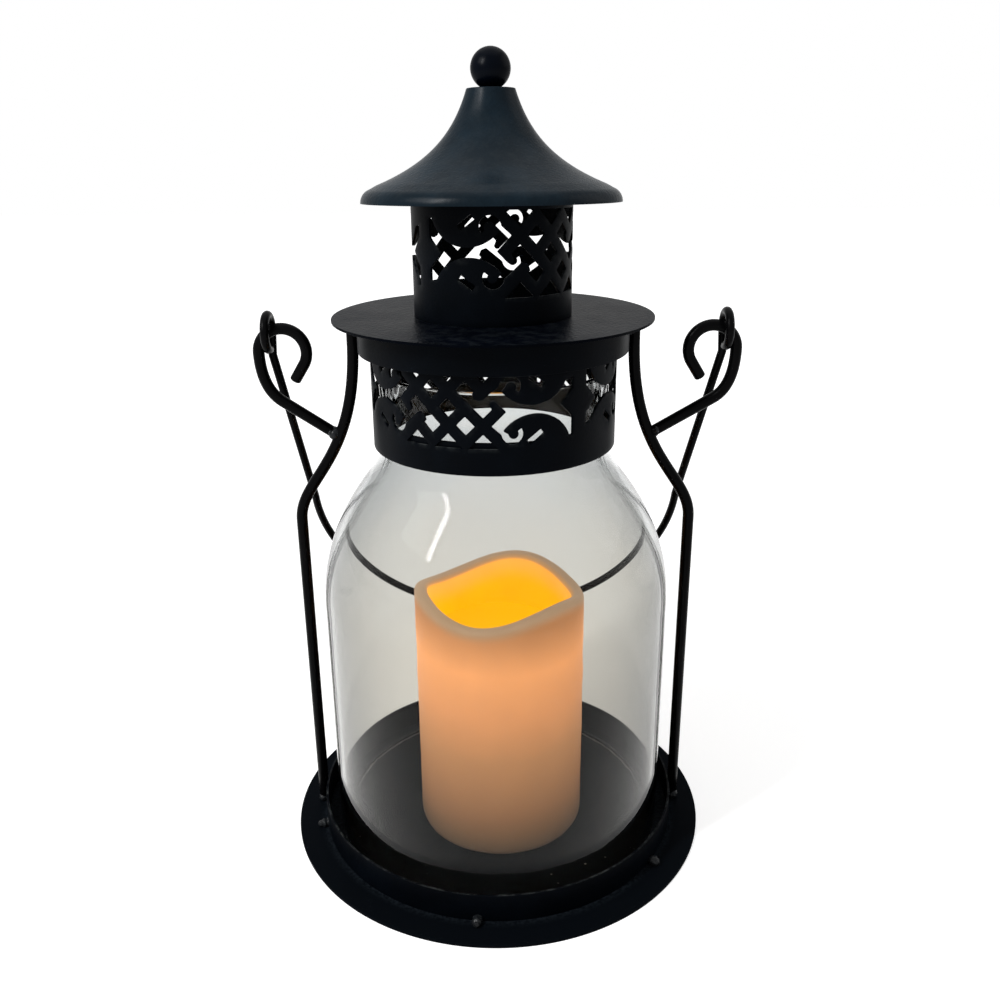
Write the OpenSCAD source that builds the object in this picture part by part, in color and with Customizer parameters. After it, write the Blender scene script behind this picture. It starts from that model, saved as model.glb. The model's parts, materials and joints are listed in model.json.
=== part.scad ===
// Hurricane lantern: a glass jar caged by two bent rods between a round base and a fretwork collar,
// with a lift-off fretwork lid, a swinging wire bail on two scroll hooks and a battery candle inside.
// Millimetres. The origin is on the table under the middle of the base, +Z is up and the front faces -Y.

/* [Base] */
// Thickness of the base plate
plate_t = 1.5; // [1:0.1:3]
// How far the base plate reaches past the gallery ring
plate_margin = 12.9; // [9:0.1:25]
// Height of the gallery ring above the plate
ring_h = 13; // [8:0.5:25]
// Wall of the gallery ring
ring_wall = 1; // [0.6:0.1:2]
// Gap between the glass foot and the gallery ring
ring_gap = 5.3; // [2:0.1:10]

/* [Glass] */
// Outside diameter of the glass jar
glass_d = 150.6; // [140:0.2:170]
// Wall of the glass jar
glass_wall = 3; // [2:0.1:4]
// Outside diameter of the glass neck
neck_d = 95; // [92:0.2:104]
// Height above the table where the shoulder starts to draw in
shoulder_z = 112; // [90:1:130]
// How far the shoulder ends below the collar
shoulder_drop = 6.7; // [2:0.1:12]
// How far the glass neck stands up inside the collar
neck_rise = 31; // [15:1:45]

/* [Cage] */
// Diameter of the side rods and scroll hooks
rod_d = 4.8; // [3:0.1:6]
// Height above the table where the side rods start to bend inwards
bend_z = 147; // [120:1:160]
// Sheet thickness of the collar, the chimney, the rim hoop and the canopy
sheet_t = 1; // [0.6:0.1:1.4]
// Gap between the glass neck and the neck hoop
neck_gap = 0.9; // [0.5:0.1:3]
// Height of the neck hoop behind the lower band of the collar
hoop_h = 12.6; // [6:0.2:20]
// Height of the collar's lower edge above the table
collar_z = 183; // [175:1:200]
// Height of the plain lower band of the collar
collar_band = 9.5; // [6:0.5:16]
// Height of the plain upper band of the collar
collar_top_band = 8; // [5:0.5:14]
// Gap between the collar and the rim hoop
rim_gap = 3.7; // [2:0.1:8]
// Height of the rim hoop
rim_h = 12.5; // [8:0.5:18]

/* [Fretwork] */
// Height of the pierced band
fret_h = 33; // [28:1:40]
// Width of the crossing bars
bar_w = 4.3; // [3:0.1:5.5]
// Spacing of the crossing bars along the band
bar_pitch = 13.4; // [12:0.1:15]
// Half width of the slit between two scroll leaves
leaf_gap = 1; // [0.6:0.1:2]
// Width of the slot in each scroll leaf
slot_w = 2.3; // [1.5:0.1:3]
// Half width of the lozenges between the scroll leaves
lozenge_w = 8.9; // [6:0.1:11]
// Width of the neck that holds each lozenge
lozenge_neck = 6.8; // [5:0.1:9]

/* [Scroll hooks] */
// Radius of the scroll at the middle of the rod
scroll_r = 9.8; // [9:0.1:13]
// How far the scroll centre lies outside the side rod
scroll_out = 2.4; // [1:0.1:8]
// How much further out the right scroll is bent than the left one
scroll_skew = 3.3; // [0:0.1:5]
// Height of the scroll centre above the collar's lower edge
scroll_rise = 37.4; // [33:0.1:45]

/* [Bail] */
// Diameter of the bail wire
wire_d = 3.6; // [2:0.1:4]
// Radius of the bail's eyes at the middle of the wire
eye_r = 7; // [6.5:0.1:8]
// Length of the bail's straight legs
leg_l = 95; // [85:1:120]
// Radius of the bail's bow
bow_r = 85.5; // [84:0.5:96]

/* [Lid] */
// How far the canopy reaches past the rim hoop
canopy_over = 9.8; // [4:0.1:16]
// Outside diameter of the pierced chimney
chimney_d = 63.4; // [56:0.2:76]
// Height of the plain lower band of the chimney
chimney_band = 9.5; // [6:0.5:16]
// Height of the locating spigot under the canopy
spigot_h = 7; // [4:0.5:10]
// Height of the eave of the roof above the pierced part of the chimney
eave_lift = 0.8; // [0:0.1:5]
// Outside diameter of the roof
roof_d = 101.6; // [92:0.2:120]
// Diameter of the flat top of the roof
roof_top_d = 18.6; // [14:0.2:24]
// Height of the roof from its eave to its flat top
roof_h = 41; // [34:0.5:55]
// Radius of the rounded eave
eave_r = 5.5; // [4:0.1:8]
// Diameter of the finial ball
ball_d = 15.3; // [12:0.1:20]

/* [Candle] */
// Diameter of the candle
candle_d = 75; // [60:0.5:76]
// Height of the candle half way up the waves of its rim
candle_h = 114; // [100:1:125]
// Height of the waves in the candle's rim
rim_wave = 6.2; // [2:0.1:9]
// Wall of the wax shell
wax_wall = 5.5; // [4:0.1:7]
// Depth of the hollow in the top of the candle
hollow_depth = 23; // [15:1:35]
// How far the candle stands to the right of the middle
candle_x = 1.5; // [0:0.1:1.6]
// How far the candle stands in front of the middle
candle_y = 5; // [0:0.1:5]
// Diameter of one battery cell
cell_d = 14.2; // [10:0.1:14.4]
// Length of one battery cell without its nub
cell_l = 49; // [42:0.5:49]

/* [Hidden] */
$fn = 64;
tube_sides = 12;
weld_gap = 0.05;
fit = 0.3;
eps = 0.05;
wire_r = wire_d / 2;
rod_r = rod_d / 2;

// Round sizes from the glass outwards
glass_r = glass_d / 2;
neck_r = neck_d / 2;
ring_r = glass_r + ring_gap + ring_wall;
base_r = ring_r + plate_margin;
rod_x = ring_r + rod_r + weld_gap;
hoop_r = neck_r + neck_gap + sheet_t;
collar_in_r = hoop_r + weld_gap;
collar_r = collar_in_r + sheet_t;
rim_r = collar_r + rim_gap + sheet_t;
canopy_r = rim_r + canopy_over;
chimney_r = chimney_d / 2;
rod_top_x = rim_r + rod_r + weld_gap;

// Heights from the table upwards
shoulder_end_z = collar_z - shoulder_drop;
neck_top_z = collar_z + neck_rise;
fret_z = collar_z + collar_band;
collar_top_z = fret_z + fret_h + collar_top_band;
rim_top_z = collar_top_z + sheet_t;
canopy_z = rim_top_z;
canopy_top_z = canopy_z + sheet_t;
chimney_fret_z = canopy_top_z + chimney_band;
eave_z = chimney_fret_z + fret_h + eave_lift;
roof_top_z = eave_z + roof_h;

// Side rod: straight to the bend, then an S curve up to the rim hoop
rod_foot_z = plate_t;
bend_rise = 4;
rod_stop = 0.6;
rod_bend_top_z = rim_top_z - rim_h + bend_rise;
rod_top_z = rim_top_z - rod_stop;
bend_h = rod_bend_top_z - bend_z;
bend_pull_low = 0.24;
bend_pull_high = 0.335;
bend_curve = [[rod_x, bend_z], [rod_x, bend_z + bend_pull_low * bend_h],
              [rod_top_x, bend_z + bend_pull_high * bend_h], [rod_top_x, rod_bend_top_z]];

// Scroll hook: leaves the rod at this share of its bend, and turns past the inner side to a short tail
scroll_foot_t = 0.645;
scroll_x = rod_x + scroll_out;
scroll_z = collar_z + scroll_rise;
scroll_turn = 212;
scroll_tail = 8;
knee_out = 0.16;
knee_drop = 2.1;
bead_proud = 0.65;

// Bail: it hangs from the scrolls and leans on the back of the glass
eye_angle = 32;
pivot_x = scroll_x + scroll_r * sin(eye_angle);
pivot_z = scroll_z + scroll_r * cos(eye_angle);
bail_reach = leg_l + bow_r;
bail_lean = asin((glass_r + wire_r + fit) / bail_reach);
eye_turn = 288;
neck_reach = 1.6;
eye_neck = neck_reach * eye_r;

// Roof: flared outline between the flat top and the rounded eave
roof_r = roof_d / 2;
roof_top_r = roof_top_d / 2;
eave_step = 1;
eave_fall = 1.2;
flare_r = roof_r - eave_r - eave_step;
flare_h = roof_h - eave_r - eave_fall;
flare_even = 0.75;

// Fretwork: bars, leaves and lozenge follow each other along half a repeat
bar_half = bar_w / sqrt(2);
near = bar_pitch / 2;
far = 1.5 * bar_pitch;
leaf_r = fret_h / 2 - leaf_gap;
leaf_in = 5.7;
leaf_x = near + far + leaf_in;
lozenge_half = 4.6;
fret_half_l = leaf_x + leaf_r + lozenge_half;
upper_leaf = [leaf_x - 0.4, fret_h / 2];
lower_leaf = [leaf_x + 0.6, -fret_h / 2 - 1.5];
upper_slot = [[leaf_x - 2, fret_h / 2 - 4.6], [leaf_x + 3.6, fret_h / 2 - 8.4]];
lower_slot = [[leaf_x - 2, -fret_h / 2 + 3.2], [leaf_x + 3.4, -fret_h / 2 + 7.2]];
bay_mouth = 1.8;
bay_depth = 3.2;
notch_lap = 0.7;
notch_cut = 1.2;
curl_inset = 3.65;
curl_out = 4.5;
curl_in = 1.9;
curl_draw = 0.9;
cut_depth = 0.5;
strip_lap = 17.5;
lap_inset = 2.7;

// Finial: the ball sits on a small flat, and its stud is held by a nut inside the roof
ball_r = ball_d / 2;
ball_flat_r = 3;
ball_z = roof_top_z + sqrt(ball_r * ball_r - ball_flat_r * ball_flat_r);
stud_r = 2;
stud_up = 6;
stud_down = 2;
nut_r = 4;
nut_h = 3.2;
roof_hole_r = stud_r + fit;

// Candle: core can inside the wax shell, from the base plate upwards
candle_r = candle_d / 2;
wax_in_r = candle_r - wax_wall;
wax_foot_r = 4;
rim_lobes = 3;
rim_turn = 13;
core_r = wax_in_r - fit;
core_wall = 1.8;
core_lift = 0.6;
core_base_z = plate_t + core_lift;
core_floor_t = 2;
core_floor_z = core_base_z + core_floor_t;
diffuser_t = 2.4;
core_top_z = plate_t + candle_h - hollow_depth - diffuser_t;
cover_t = core_floor_t;
cover_margin = 11;
cover_r = core_r - cover_margin;
lug_reach = 2.4;
lug_r = cover_r + lug_reach;
lug_t = 1.5;
lug_angle = 24;
lug_at = 90;
lug_root = 2;
lug_slack = 3;
boss_step = 1;
cover_turn = 30;
boss_top_z = core_floor_z + fit + lug_t;
bridge_t = 0.6;
cell_z = boss_top_z + bridge_t;
nub_r = 2.7;
nub_h = 1.5;
contact_t = 0.6;
contact_r = nub_r + 1.5;
contact_z = cell_z + cell_l + nub_h;
shelf_z = contact_z + contact_t;
shelf_t = 2;
cell_gap = 1.2;
cell_x = (cell_d + cell_gap) / 2;
sleeve_wall = 2;
sleeve_clear = 4;
sleeve_r = cell_x + cell_d / 2 + sleeve_wall;
sleeve_z = cell_z + sleeve_clear;
board_r = 14;
board_t = 1.6;
wire_hole_r = 2;
board_z = shelf_z + shelf_t;
lamp_z = board_z + board_t;
lamp_r = 4;
lamp_h = 9;
lamp_flange_r = lamp_r + 0.6;
lamp_flange_t = 1.2;
switch_x = (cover_r + core_r) / 2;
switch_w = 6;
switch_l = 12;
switch_h = 5;
switch_wall = 1;
knob_w = 2.4;
knob_l = 4;
knob_drop = 0.2;
foot_t = 1.6;
foot_lap = 0.5;
slide_travel = 3;

black = "#1b1e21";
dark_steel = "#2c3136";
ivory = "#f0c497";

// Vectors and curves
function unit(v) = v / norm(v);
function bezier(c, t) = pow(1 - t, 3) * c[0] + 3 * t * pow(1 - t, 2) * c[1]
                        + 3 * t * t * (1 - t) * c[2] + pow(t, 3) * c[3];
function arc(c, r, a, b, n) = [for (i = [0 : n]) let (t = a + (b - a) * i / n) c + r * [cos(t), sin(t)]];
function upright(points) = [for (p = points) [p[0], 0, p[1]]];
function tangent(p, i) = unit(p[min(i + 1, len(p) - 1)] - p[max(i - 1, 0)]);
function square_to(n, t) = unit(n - t * (n * t));

// Round rod swept along a list of points, with one side direction carried from point to point
function side_dirs(p, n0) =
    [for (i = 0, n = square_to(n0, tangent(p, 0)); i < len(p);
          i = i + 1, n = square_to(n, tangent(p, min(i, len(p) - 1)))) n];

module swept_rod(p, r, n0) {
    n = side_dirs(p, n0);
    s = tube_sides;
    last = (len(p) - 1) * s;
    points = [for (i = [0 : len(p) - 1], k = [0 : s - 1]) let (a = 360 * k / s)
              p[i] + r * (cos(a) * n[i] + sin(a) * cross(tangent(p, i), n[i]))];
    walls = [for (i = [0 : len(p) - 2], k = [0 : s - 1], half = [0, 1])
             let (a = i * s + k, b = i * s + (k + 1) % s, c = b + s, d = a + s)
             half == 0 ? [a, d, c] : [a, c, b]];
    foot = [for (k = [1 : s - 2]) [0, k, k + 1]];
    head = [for (k = [1 : s - 2]) [last, last + k + 1, last + k]];
    polyhedron(points, concat(walls, foot, head));
}

// Round band with square edges
module band(r, wall, z, h) {
    rotate_extrude() translate([r - wall, z]) square([wall, h]);
}

// Base
module base_plate() {
    edge = plate_t / 3;
    color(black) rotate_extrude()
        polygon([[0, 0], [base_r - edge, 0], [base_r, edge], [base_r, plate_t - edge],
                 [base_r - edge, plate_t], [0, plate_t]]);
}

module gallery_ring() {
    color(black) band(ring_r, ring_wall, plate_t, ring_h);
}

module ring_tack_welds() {
    tack_r = 2;
    tacks = [-76, -6, 55, 115, 175, 235];
    color(black) for (a = tacks)
        rotate([0, 0, a]) translate([0, -ring_r - tack_r / 3, plate_t + tack_r / 3])
            intersection() {
                sphere(tack_r);
                translate([-tack_r, -tack_r, -tack_r / 3]) cube([2 * tack_r, tack_r * 4 / 3, 2 * tack_r]);
            }
}

// Cage rods and scroll hooks, drawn on the right and mirrored for the left. The skew moves a scroll out.
function rod_path() =
    concat([[rod_x, rod_foot_z]], [for (i = [0 : 14]) bezier(bend_curve, i / 14)], [[rod_top_x, rod_top_z]]);

function scroll_centre(skew) = [scroll_x + skew, scroll_z];
function scroll_knee(skew) = scroll_centre(skew) + scroll_r * [knee_out, -knee_drop];
function scroll_way(skew) = unit(scroll_knee(skew) - bezier(bend_curve, scroll_foot_t));
function scroll_foot(skew) = bezier(bend_curve, scroll_foot_t) + rod_r * scroll_way(skew);

function scroll_path(skew) =
    let (way = scroll_way(skew), knee = scroll_knee(skew), side = scroll_centre(skew) + [scroll_r, 0],
         corner = [side[0], knee[1] + way[1] / way[0] * (side[0] - knee[0])],
         curl = arc(scroll_centre(skew), scroll_r, 0, scroll_turn, 24),
         tail = scroll_tail * [-sin(scroll_turn), cos(scroll_turn)])
    concat([scroll_foot(skew)],
           [for (i = [0 : 5]) let (t = i / 6)
            pow(1 - t, 2) * knee + 2 * t * (1 - t) * corner + t * t * side],
           curl, [curl[len(curl) - 1] + tail]);

module side_rod() {
    swept_rod(upright(rod_path()), rod_r, [0, 1, 0]);
}

module scroll_hook(skew) {
    swept_rod(upright(scroll_path(skew)), rod_r, [0, 1, 0]);
}

module right_side_rod() { color(black) side_rod(); }
module left_side_rod() { color(black) mirror([1, 0, 0]) side_rod(); }
module right_scroll_hook() { color(black) scroll_hook(scroll_skew); }
module left_scroll_hook() { color(black) mirror([1, 0, 0]) scroll_hook(0); }

module rod_welds() {
    hook_bead_r = rod_r + bead_proud;
    foot_bead_r = rod_r + 2 * bead_proud;
    rim_bead_r = rod_r + bead_proud / 2;
    color(black) for (side = [-1, 1]) {
        foot = scroll_foot(side > 0 ? scroll_skew : 0);
        translate([side * foot[0], 0, foot[1]]) sphere(hook_bead_r);
        translate([side * rod_x, 0, rod_foot_z])
            intersection() {
                sphere(foot_bead_r);
                translate([-foot_bead_r, -foot_bead_r, 0]) cube(2 * foot_bead_r);
            }
        translate([side * rod_top_x, 0, rim_top_z - rim_h / 2]) sphere(rim_bead_r);
    }
}

// Glass jar, open at both ends: a straight wall, a shoulder and a neck
glass_bulge = 2.1;
function glass_outline(inset) =
    concat([[glass_r - inset, plate_t]],
           [for (i = [0 : 12]) let (t = i / 12)
            [neck_r + (glass_r - neck_r) * (1 - pow(t, glass_bulge)) - inset,
             shoulder_z + t * (shoulder_end_z - shoulder_z)]],
           [[neck_r - inset, neck_top_z]]);

function backwards(list) = [for (i = [len(list) - 1 : -1 : 0]) list[i]];

module glass_jar() {
    color("#cfd8da", 0.4) rotate_extrude()
        polygon(concat(glass_outline(0), backwards(glass_outline(glass_wall))));
}

module neck_hoop() {
    color(black) band(hoop_r, sheet_t, collar_z, hoop_h);
}

module rim_hoop() {
    color(black) rotate_extrude()
        polygon([[collar_in_r, collar_top_z], [rim_r - sheet_t, collar_top_z],
                 [rim_r - sheet_t, rim_top_z - rim_h], [rim_r, rim_top_z - rim_h],
                 [rim_r, rim_top_z], [collar_in_r, rim_top_z]]);
}

// Fretwork: openings of one repeat, in millimetres along and up the band from its middle.
// p and q run along the two slants of the crossing bars.
function slant(p, q) = [(p + q) / 2, (p - q) / 2];
function diamond(p, q) = let (d = bar_pitch / 2 - bar_half)
    [for (v = [[-1, 0], [0, 1], [1, 0], [0, -1]]) slant(p, q) + d * v];
// Opening between two bars and the edge of the fretwork, on its upper or lower side
function edge_triangle(x, side) =
    let (tip = near + bar_half, base = leaf_r, half = side * (base - tip))
    [[x, side * tip], [x - half, side * base], [x + half, side * base]];
function bar(a, b, w) = let (d = unit(b - a), n = [-d[1], d[0]] * w / 2) [a - n, b - n, b + n, a + n];

// Slit round the tip of a leaf, from its mouth round to its end and back
function curl(c, from, to) =
    let (steps = 14, outward = [for (i = [0 : steps]) i / steps])
    concat([for (t = outward) c + (curl_out - curl_draw * t) * along(from + (to - from) * t)],
           [for (t = backwards(outward)) c + curl_in * along(from + (to - from) * t)]);
function along(a) = [cos(a), sin(a)];

// Long opening between two leaves, from the crossing bars to the lozenge
function leaf_opening() =
    let (near_out = near + bar_half, near_in = near - bar_half,
         far_in = far - bar_half, far_out = far + bar_half,
         neck_x = fret_half_l - lozenge_neck / 2, neck_y = lozenge_w - lozenge_neck / 2,
         neck_high = fret_h * 0.3, neck_low = fret_h * 0.38, curl_step = leaf_r - curl_inset)
    concat([slant(near_out, -near_in), slant(far_in, -near_in), slant(far_in, near_in)],
           [slant(far_in - bay_mouth, near_in), slant(far_in - bay_depth, near),
            slant(far_in - bay_mouth, near_out)],
           curl(upper_leaf + curl_step * along(225), 175, -35),
           arc(upper_leaf, leaf_r, 220, 332, 16),
           [[neck_x, neck_high], [neck_x, neck_y], [fret_half_l - lozenge_w, 0], [neck_x, -neck_y],
            [neck_x, -neck_low]],
           arc(lower_leaf, leaf_r, 20, 142, 16),
           backwards(curl(lower_leaf + curl_step * along(135), -175, 35)),
           [slant(near_out, far_out), slant(far + notch_lap, far_out),
            slant(far + notch_lap, bar_pitch + notch_cut), slant(far - notch_cut / 2, bar_pitch),
            slant(far - 2 * notch_cut, bar_pitch + notch_cut / 3), slant(far_in - notch_lap, far_in),
            slant(near_out, far_in)]);

// Openings to the right of the middle of one repeat, up to its end
function half_openings(end) =
    [diamond(0, bar_pitch), edge_triangle(bar_pitch, -1), edge_triangle(0, -1),
     edge_triangle(bar_pitch, 1), [for (v = leaf_opening()) if (v[0] < end) v],
     bar(upper_slot[0], upper_slot[1], slot_w), bar(lower_slot[0], lower_slot[1], slot_w)];
function repeat_openings(left_end, right_end) =
    concat([diamond(0, 0)], half_openings(right_end), [for (o = half_openings(left_end)) [for (v = o) -v]]);
function mean_x(o) = let (x = [for (v = o) v[0]]) (min(x) + max(x)) / 2;

// Band of radius r pierced by repeats, each opening cut square to its own middle. The strip's outer ends
// are full repeats where these go round once, and stop short where the strip is lapped over itself.
module pierced_band(r, z, h, fret_low, repeats, turn, stretch, end) {
    degree = 180 / PI / r;
    step = 2 * fret_half_l * stretch * degree;
    difference() {
        band(r, sheet_t, z, h);
        for (k = [0 : repeats - 1],
             o = repeat_openings(k == 0 ? end : fret_half_l, k == repeats - 1 ? end : fret_half_l))
            let (x = mean_x(o) * stretch)
            rotate([0, 0, turn + k * step + x * degree])
                translate([0, r * cut_depth - r, fret_low + fret_h / 2]) rotate([90, 0, 0])
                    linear_extrude(r * cut_depth + 1)
                        polygon([for (v = o) [r * sin((v[0] * stretch - x) * degree), v[1]]]);
    }
}

module fret_collar() {
    repeats = 3;
    turn = -19.7;
    stretch = PI * collar_r / repeats / fret_half_l;
    h = collar_top_z - collar_z;
    color(black) pierced_band(collar_r, collar_z, h, fret_z, repeats, turn, stretch, fret_half_l);
}

// Lid
function flare_reach(s) = roof_top_r * pow(flare_r / roof_top_r, s * (flare_even + (1 - flare_even) * s));
function flare_share(r) =
    let (q = ln(r / roof_top_r) / ln(flare_r / roof_top_r))
    (sqrt(flare_even * flare_even + 4 * (1 - flare_even) * q) - flare_even) / (2 * (1 - flare_even));
function flare_drop(s) =
    let (d = 0.001, run = flare_reach(s + d) - flare_reach(s), fall = flare_h * d)
    sheet_t * sqrt(1 + pow(fall / run, 2));
chimney_top_z = roof_top_z - flare_h * flare_share(chimney_r) - flare_drop(flare_share(chimney_r)) - eps;

module canopy_disc() {
    edge = sheet_t / 3;
    inner = chimney_r - sheet_t;
    color(dark_steel) rotate_extrude()
        polygon([[inner, canopy_z], [canopy_r - edge, canopy_z], [canopy_r, canopy_z + edge],
                 [canopy_r, canopy_top_z - edge], [canopy_r - edge, canopy_top_z], [inner, canopy_top_z]]);
}

module lid_spigot() {
    color(black) band(collar_in_r - fit, sheet_t, canopy_z - spigot_h, spigot_h);
}

module chimney_fret() {
    repeats = 2;
    turn = -151.6;
    h = chimney_top_z - canopy_top_z;
    end = fret_half_l - lozenge_w - lap_inset;
    stretch = (PI * chimney_r + strip_lap / 2) / repeats / fret_half_l;
    color(black) pierced_band(chimney_r, canopy_top_z, h, chimney_fret_z, repeats, turn, stretch, end);
}

module roof_cap() {
    flare = [for (i = [0 : 12]) i / 12];
    outer = [for (s = flare) [flare_reach(s), roof_top_z - flare_h * s]];
    inner = [for (s = flare) [flare_reach(s), roof_top_z - flare_h * s - flare_drop(s)]];
    eave = [roof_r - eave_r, eave_z];
    color(dark_steel) rotate_extrude()
        polygon(concat([[roof_hole_r, roof_top_z]], outer, arc(eave, eave_r, 70, 0, 6),
                       arc(eave, eave_r - sheet_t, 0, 70, 6), backwards(inner),
                       [[roof_hole_r, roof_top_z - flare_drop(0)]]));
}

module finial_ball() {
    color(black) difference() {
        translate([0, 0, ball_z]) sphere(ball_r);
        translate([0, 0, roof_top_z - ball_d]) cylinder(h = ball_d, r = ball_r);
        translate([0, 0, roof_top_z - 1]) cylinder(h = 1 + stud_up, r = stud_r + eps);
    }
}

roof_under_z = roof_top_z - flare_drop(0);
module finial_stud() {
    color("silver") translate([0, 0, roof_under_z - nut_h - stud_down])
        cylinder(h = roof_top_z + stud_up - roof_under_z + nut_h + stud_down, r = stud_r);
}

module finial_nut() {
    color("silver") translate([0, 0, roof_under_z - nut_h]) difference() {
        cylinder(h = nut_h, r = nut_r, $fn = 6);
        translate([0, 0, -1]) cylinder(h = nut_h + 2, r = stud_r + eps);
    }
}

// Bail at rest: s runs down the leg from the pivot, e stands square to the bow
function bail_point(x, s, e) =
    [x, s * sin(bail_lean) + e * cos(bail_lean), pivot_z - s * cos(bail_lean) + e * sin(bail_lean)];

function bail_path() =
    let (start = acos(eye_r / eye_neck), n = 20,
         eye = [for (i = [n : -1 : 0]) let (a = start + eye_turn * i / n) eye_r * [cos(a), sin(a)]],
         hook = concat(eye, [[eye_neck, 0]]), right_x = pivot_x + scroll_skew)
    concat([for (p = hook) bail_point(right_x, p[0], p[1])],
           [for (a = [0 : 7.5 : 180]) bail_point(bow_r * cos(a), leg_l + bow_r * sin(a), 0)],
           [for (p = backwards(hook)) bail_point(-pivot_x, p[0], p[1])]);

module bail_handle() {
    color(black) swept_rod(bail_path(), wire_r, [1, 0, 0]);
}

// Candle: everything stands off the middle by the same step
module at_candle() {
    translate([candle_x, -candle_y, 0]) children();
}

module wax_shell() {
    rim_z = plate_t + candle_h;
    reach = candle_r * sin(180 / rim_lobes);
    scoop_r = (reach * reach + rim_wave * rim_wave) / (2 * rim_wave);
    color(ivory) at_candle() difference() {
        rotate_extrude()
            polygon(concat([[wax_in_r, plate_t]],
                           arc([candle_r - wax_foot_r, plate_t + wax_foot_r], wax_foot_r, -90, 0, 6),
                           [[candle_r, rim_z + rim_wave], [wax_in_r, rim_z + rim_wave]]));
        for (k = [0 : rim_lobes - 1])
            rotate([0, 0, rim_turn + k * 360 / rim_lobes])
                translate([0, 0, rim_z - rim_wave / 2 + scoop_r]) rotate([0, 90, 0])
                    cylinder(h = candle_d, r = scoop_r);
    }
}

module cover_lugs(r, z, h, turn, wide) {
    for (a = [0, 180]) rotate([0, 0, a + turn - wide / 2])
        rotate_extrude(angle = wide) translate([cover_r - lug_root, z]) square([r - cover_r + lug_root, h]);
}

module candle_core() {
    color("whitesmoke") at_candle() difference() {
        rotate_extrude()
            polygon([[0, core_base_z], [core_r, core_base_z], [core_r, core_top_z],
                     [core_r - core_wall, core_top_z], [core_r - core_wall, shelf_z + shelf_t],
                     [0, shelf_z + shelf_t], [0, shelf_z], [core_r - core_wall, shelf_z],
                     [core_r - core_wall, core_floor_z], [0, core_floor_z]]);
        translate([0, 0, core_base_z - 1]) cylinder(h = core_floor_t + 2, r = cover_r + fit);
        cover_lugs(lug_r + fit, core_base_z - 1, core_floor_t + 2, lug_at + cover_turn,
                   lug_angle + lug_slack);
        translate([switch_x - knob_w / 2 - fit, -(knob_l + slide_travel) / 2 - fit, core_base_z - 1])
            cube([knob_w + 2 * fit, knob_l + slide_travel + 2 * fit, core_floor_t + 2]);
        translate([board_r + 2 * wire_hole_r, 0, shelf_z - 1]) cylinder(h = shelf_t + 2, r = wire_hole_r);
    }
}

module battery_sleeve() {
    color("gainsboro") at_candle() translate([0, 0, sleeve_z]) difference() {
        cylinder(h = shelf_z - sleeve_z, r = sleeve_r);
        for (side = [-1, 1]) translate([side * cell_x, 0, -1])
            cylinder(h = shelf_z - sleeve_z + 2, r = cell_d / 2 + fit);
    }
}

module battery_cells() {
    color("dimgray") at_candle() for (side = [-1, 1]) translate([side * cell_x, 0, cell_z]) {
        cylinder(h = cell_l, r = cell_d / 2);
        cylinder(h = cell_l + nub_h, r = nub_r);
    }
}

module battery_contacts() {
    color("silver") at_candle() for (side = [-1, 1]) translate([side * cell_x, 0, contact_z])
        cylinder(h = contact_t, r = contact_r);
}

module led_board() {
    color("darkgreen") at_candle() translate([0, 0, board_z]) cylinder(h = board_t, r = board_r);
}

module led_lamp() {
    color("lightyellow") at_candle() translate([0, 0, lamp_z]) rotate_extrude()
        polygon(concat([[0, 0], [lamp_flange_r, 0], [lamp_flange_r, lamp_flange_t], [lamp_r, lamp_flange_t]],
                       arc([0, lamp_h - lamp_r], lamp_r, 0, 90, 6)));
}

module led_diffuser() {
    dish = 3;
    dish_share = 0.6;
    top_z = core_top_z + diffuser_t;
    color("orange") at_candle() rotate_extrude()
        polygon([[0, core_top_z - dish], [core_r * dish_share, core_top_z - dish * dish_share],
                 [core_r - core_wall - fit, core_top_z], [core_r, core_top_z], [core_r, top_z],
                 [core_r * dish_share, top_z - dish * dish_share], [0, top_z - dish]]);
}

module switch_body() {
    corner = [switch_x - switch_w / 2, -switch_l / 2, core_floor_z];
    inside = [switch_w - 2 * switch_wall, switch_l - 2 * switch_wall, switch_h];
    color("black") at_candle() translate(corner) difference() {
        cube([switch_w, switch_l, switch_h]);
        translate([switch_wall, switch_wall, -switch_wall]) cube(inside);
    }
}

module switch_slider() {
    y = -(knob_l + slide_travel) / 2;
    color("red") at_candle() {
        translate([switch_x - knob_w / 2, y, core_base_z + knob_drop])
            cube([knob_w, knob_l, core_floor_t + foot_t]);
        translate([switch_x - switch_w / 2 + switch_wall + fit, y - foot_lap, core_floor_z + fit])
            cube([switch_w - 2 * switch_wall - 2 * fit, knob_l + 2 * foot_lap, foot_t]);
    }
}

module battery_cover() {
    coin_w = 2;
    coin_l = cover_r;
    coin_depth = 1;
    color("whitesmoke") at_candle() difference() {
        union() {
            translate([0, 0, core_base_z]) cylinder(h = cover_t, r = cover_r);
            translate([0, 0, core_base_z]) cylinder(h = boss_top_z - core_base_z, r = cover_r - boss_step);
            cover_lugs(lug_r, core_floor_z + fit, lug_t, lug_at, lug_angle);
        }
        translate([-coin_l / 2, -coin_w / 2, core_base_z - coin_depth])
            cube([coin_l, coin_w, 2 * coin_depth]);
    }
}

module bridge_contact() {
    color("silver") at_candle() translate([-cell_x - nub_r, -nub_r, boss_top_z])
        cube([2 * (cell_x + nub_r), 2 * nub_r, bridge_t]);
}

base_plate();
gallery_ring();
ring_tack_welds();
left_side_rod();
right_side_rod();
left_scroll_hook();
right_scroll_hook();
rod_welds();
glass_jar();
neck_hoop();
fret_collar();
rim_hoop();
canopy_disc();
lid_spigot();
chimney_fret();
roof_cap();
finial_ball();
finial_stud();
finial_nut();
bail_handle();
wax_shell();
candle_core();
battery_sleeve();
led_diffuser();
led_lamp();
led_board();
battery_cells();
battery_contacts();
switch_body();
switch_slider();
battery_cover();
bridge_contact();
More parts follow.
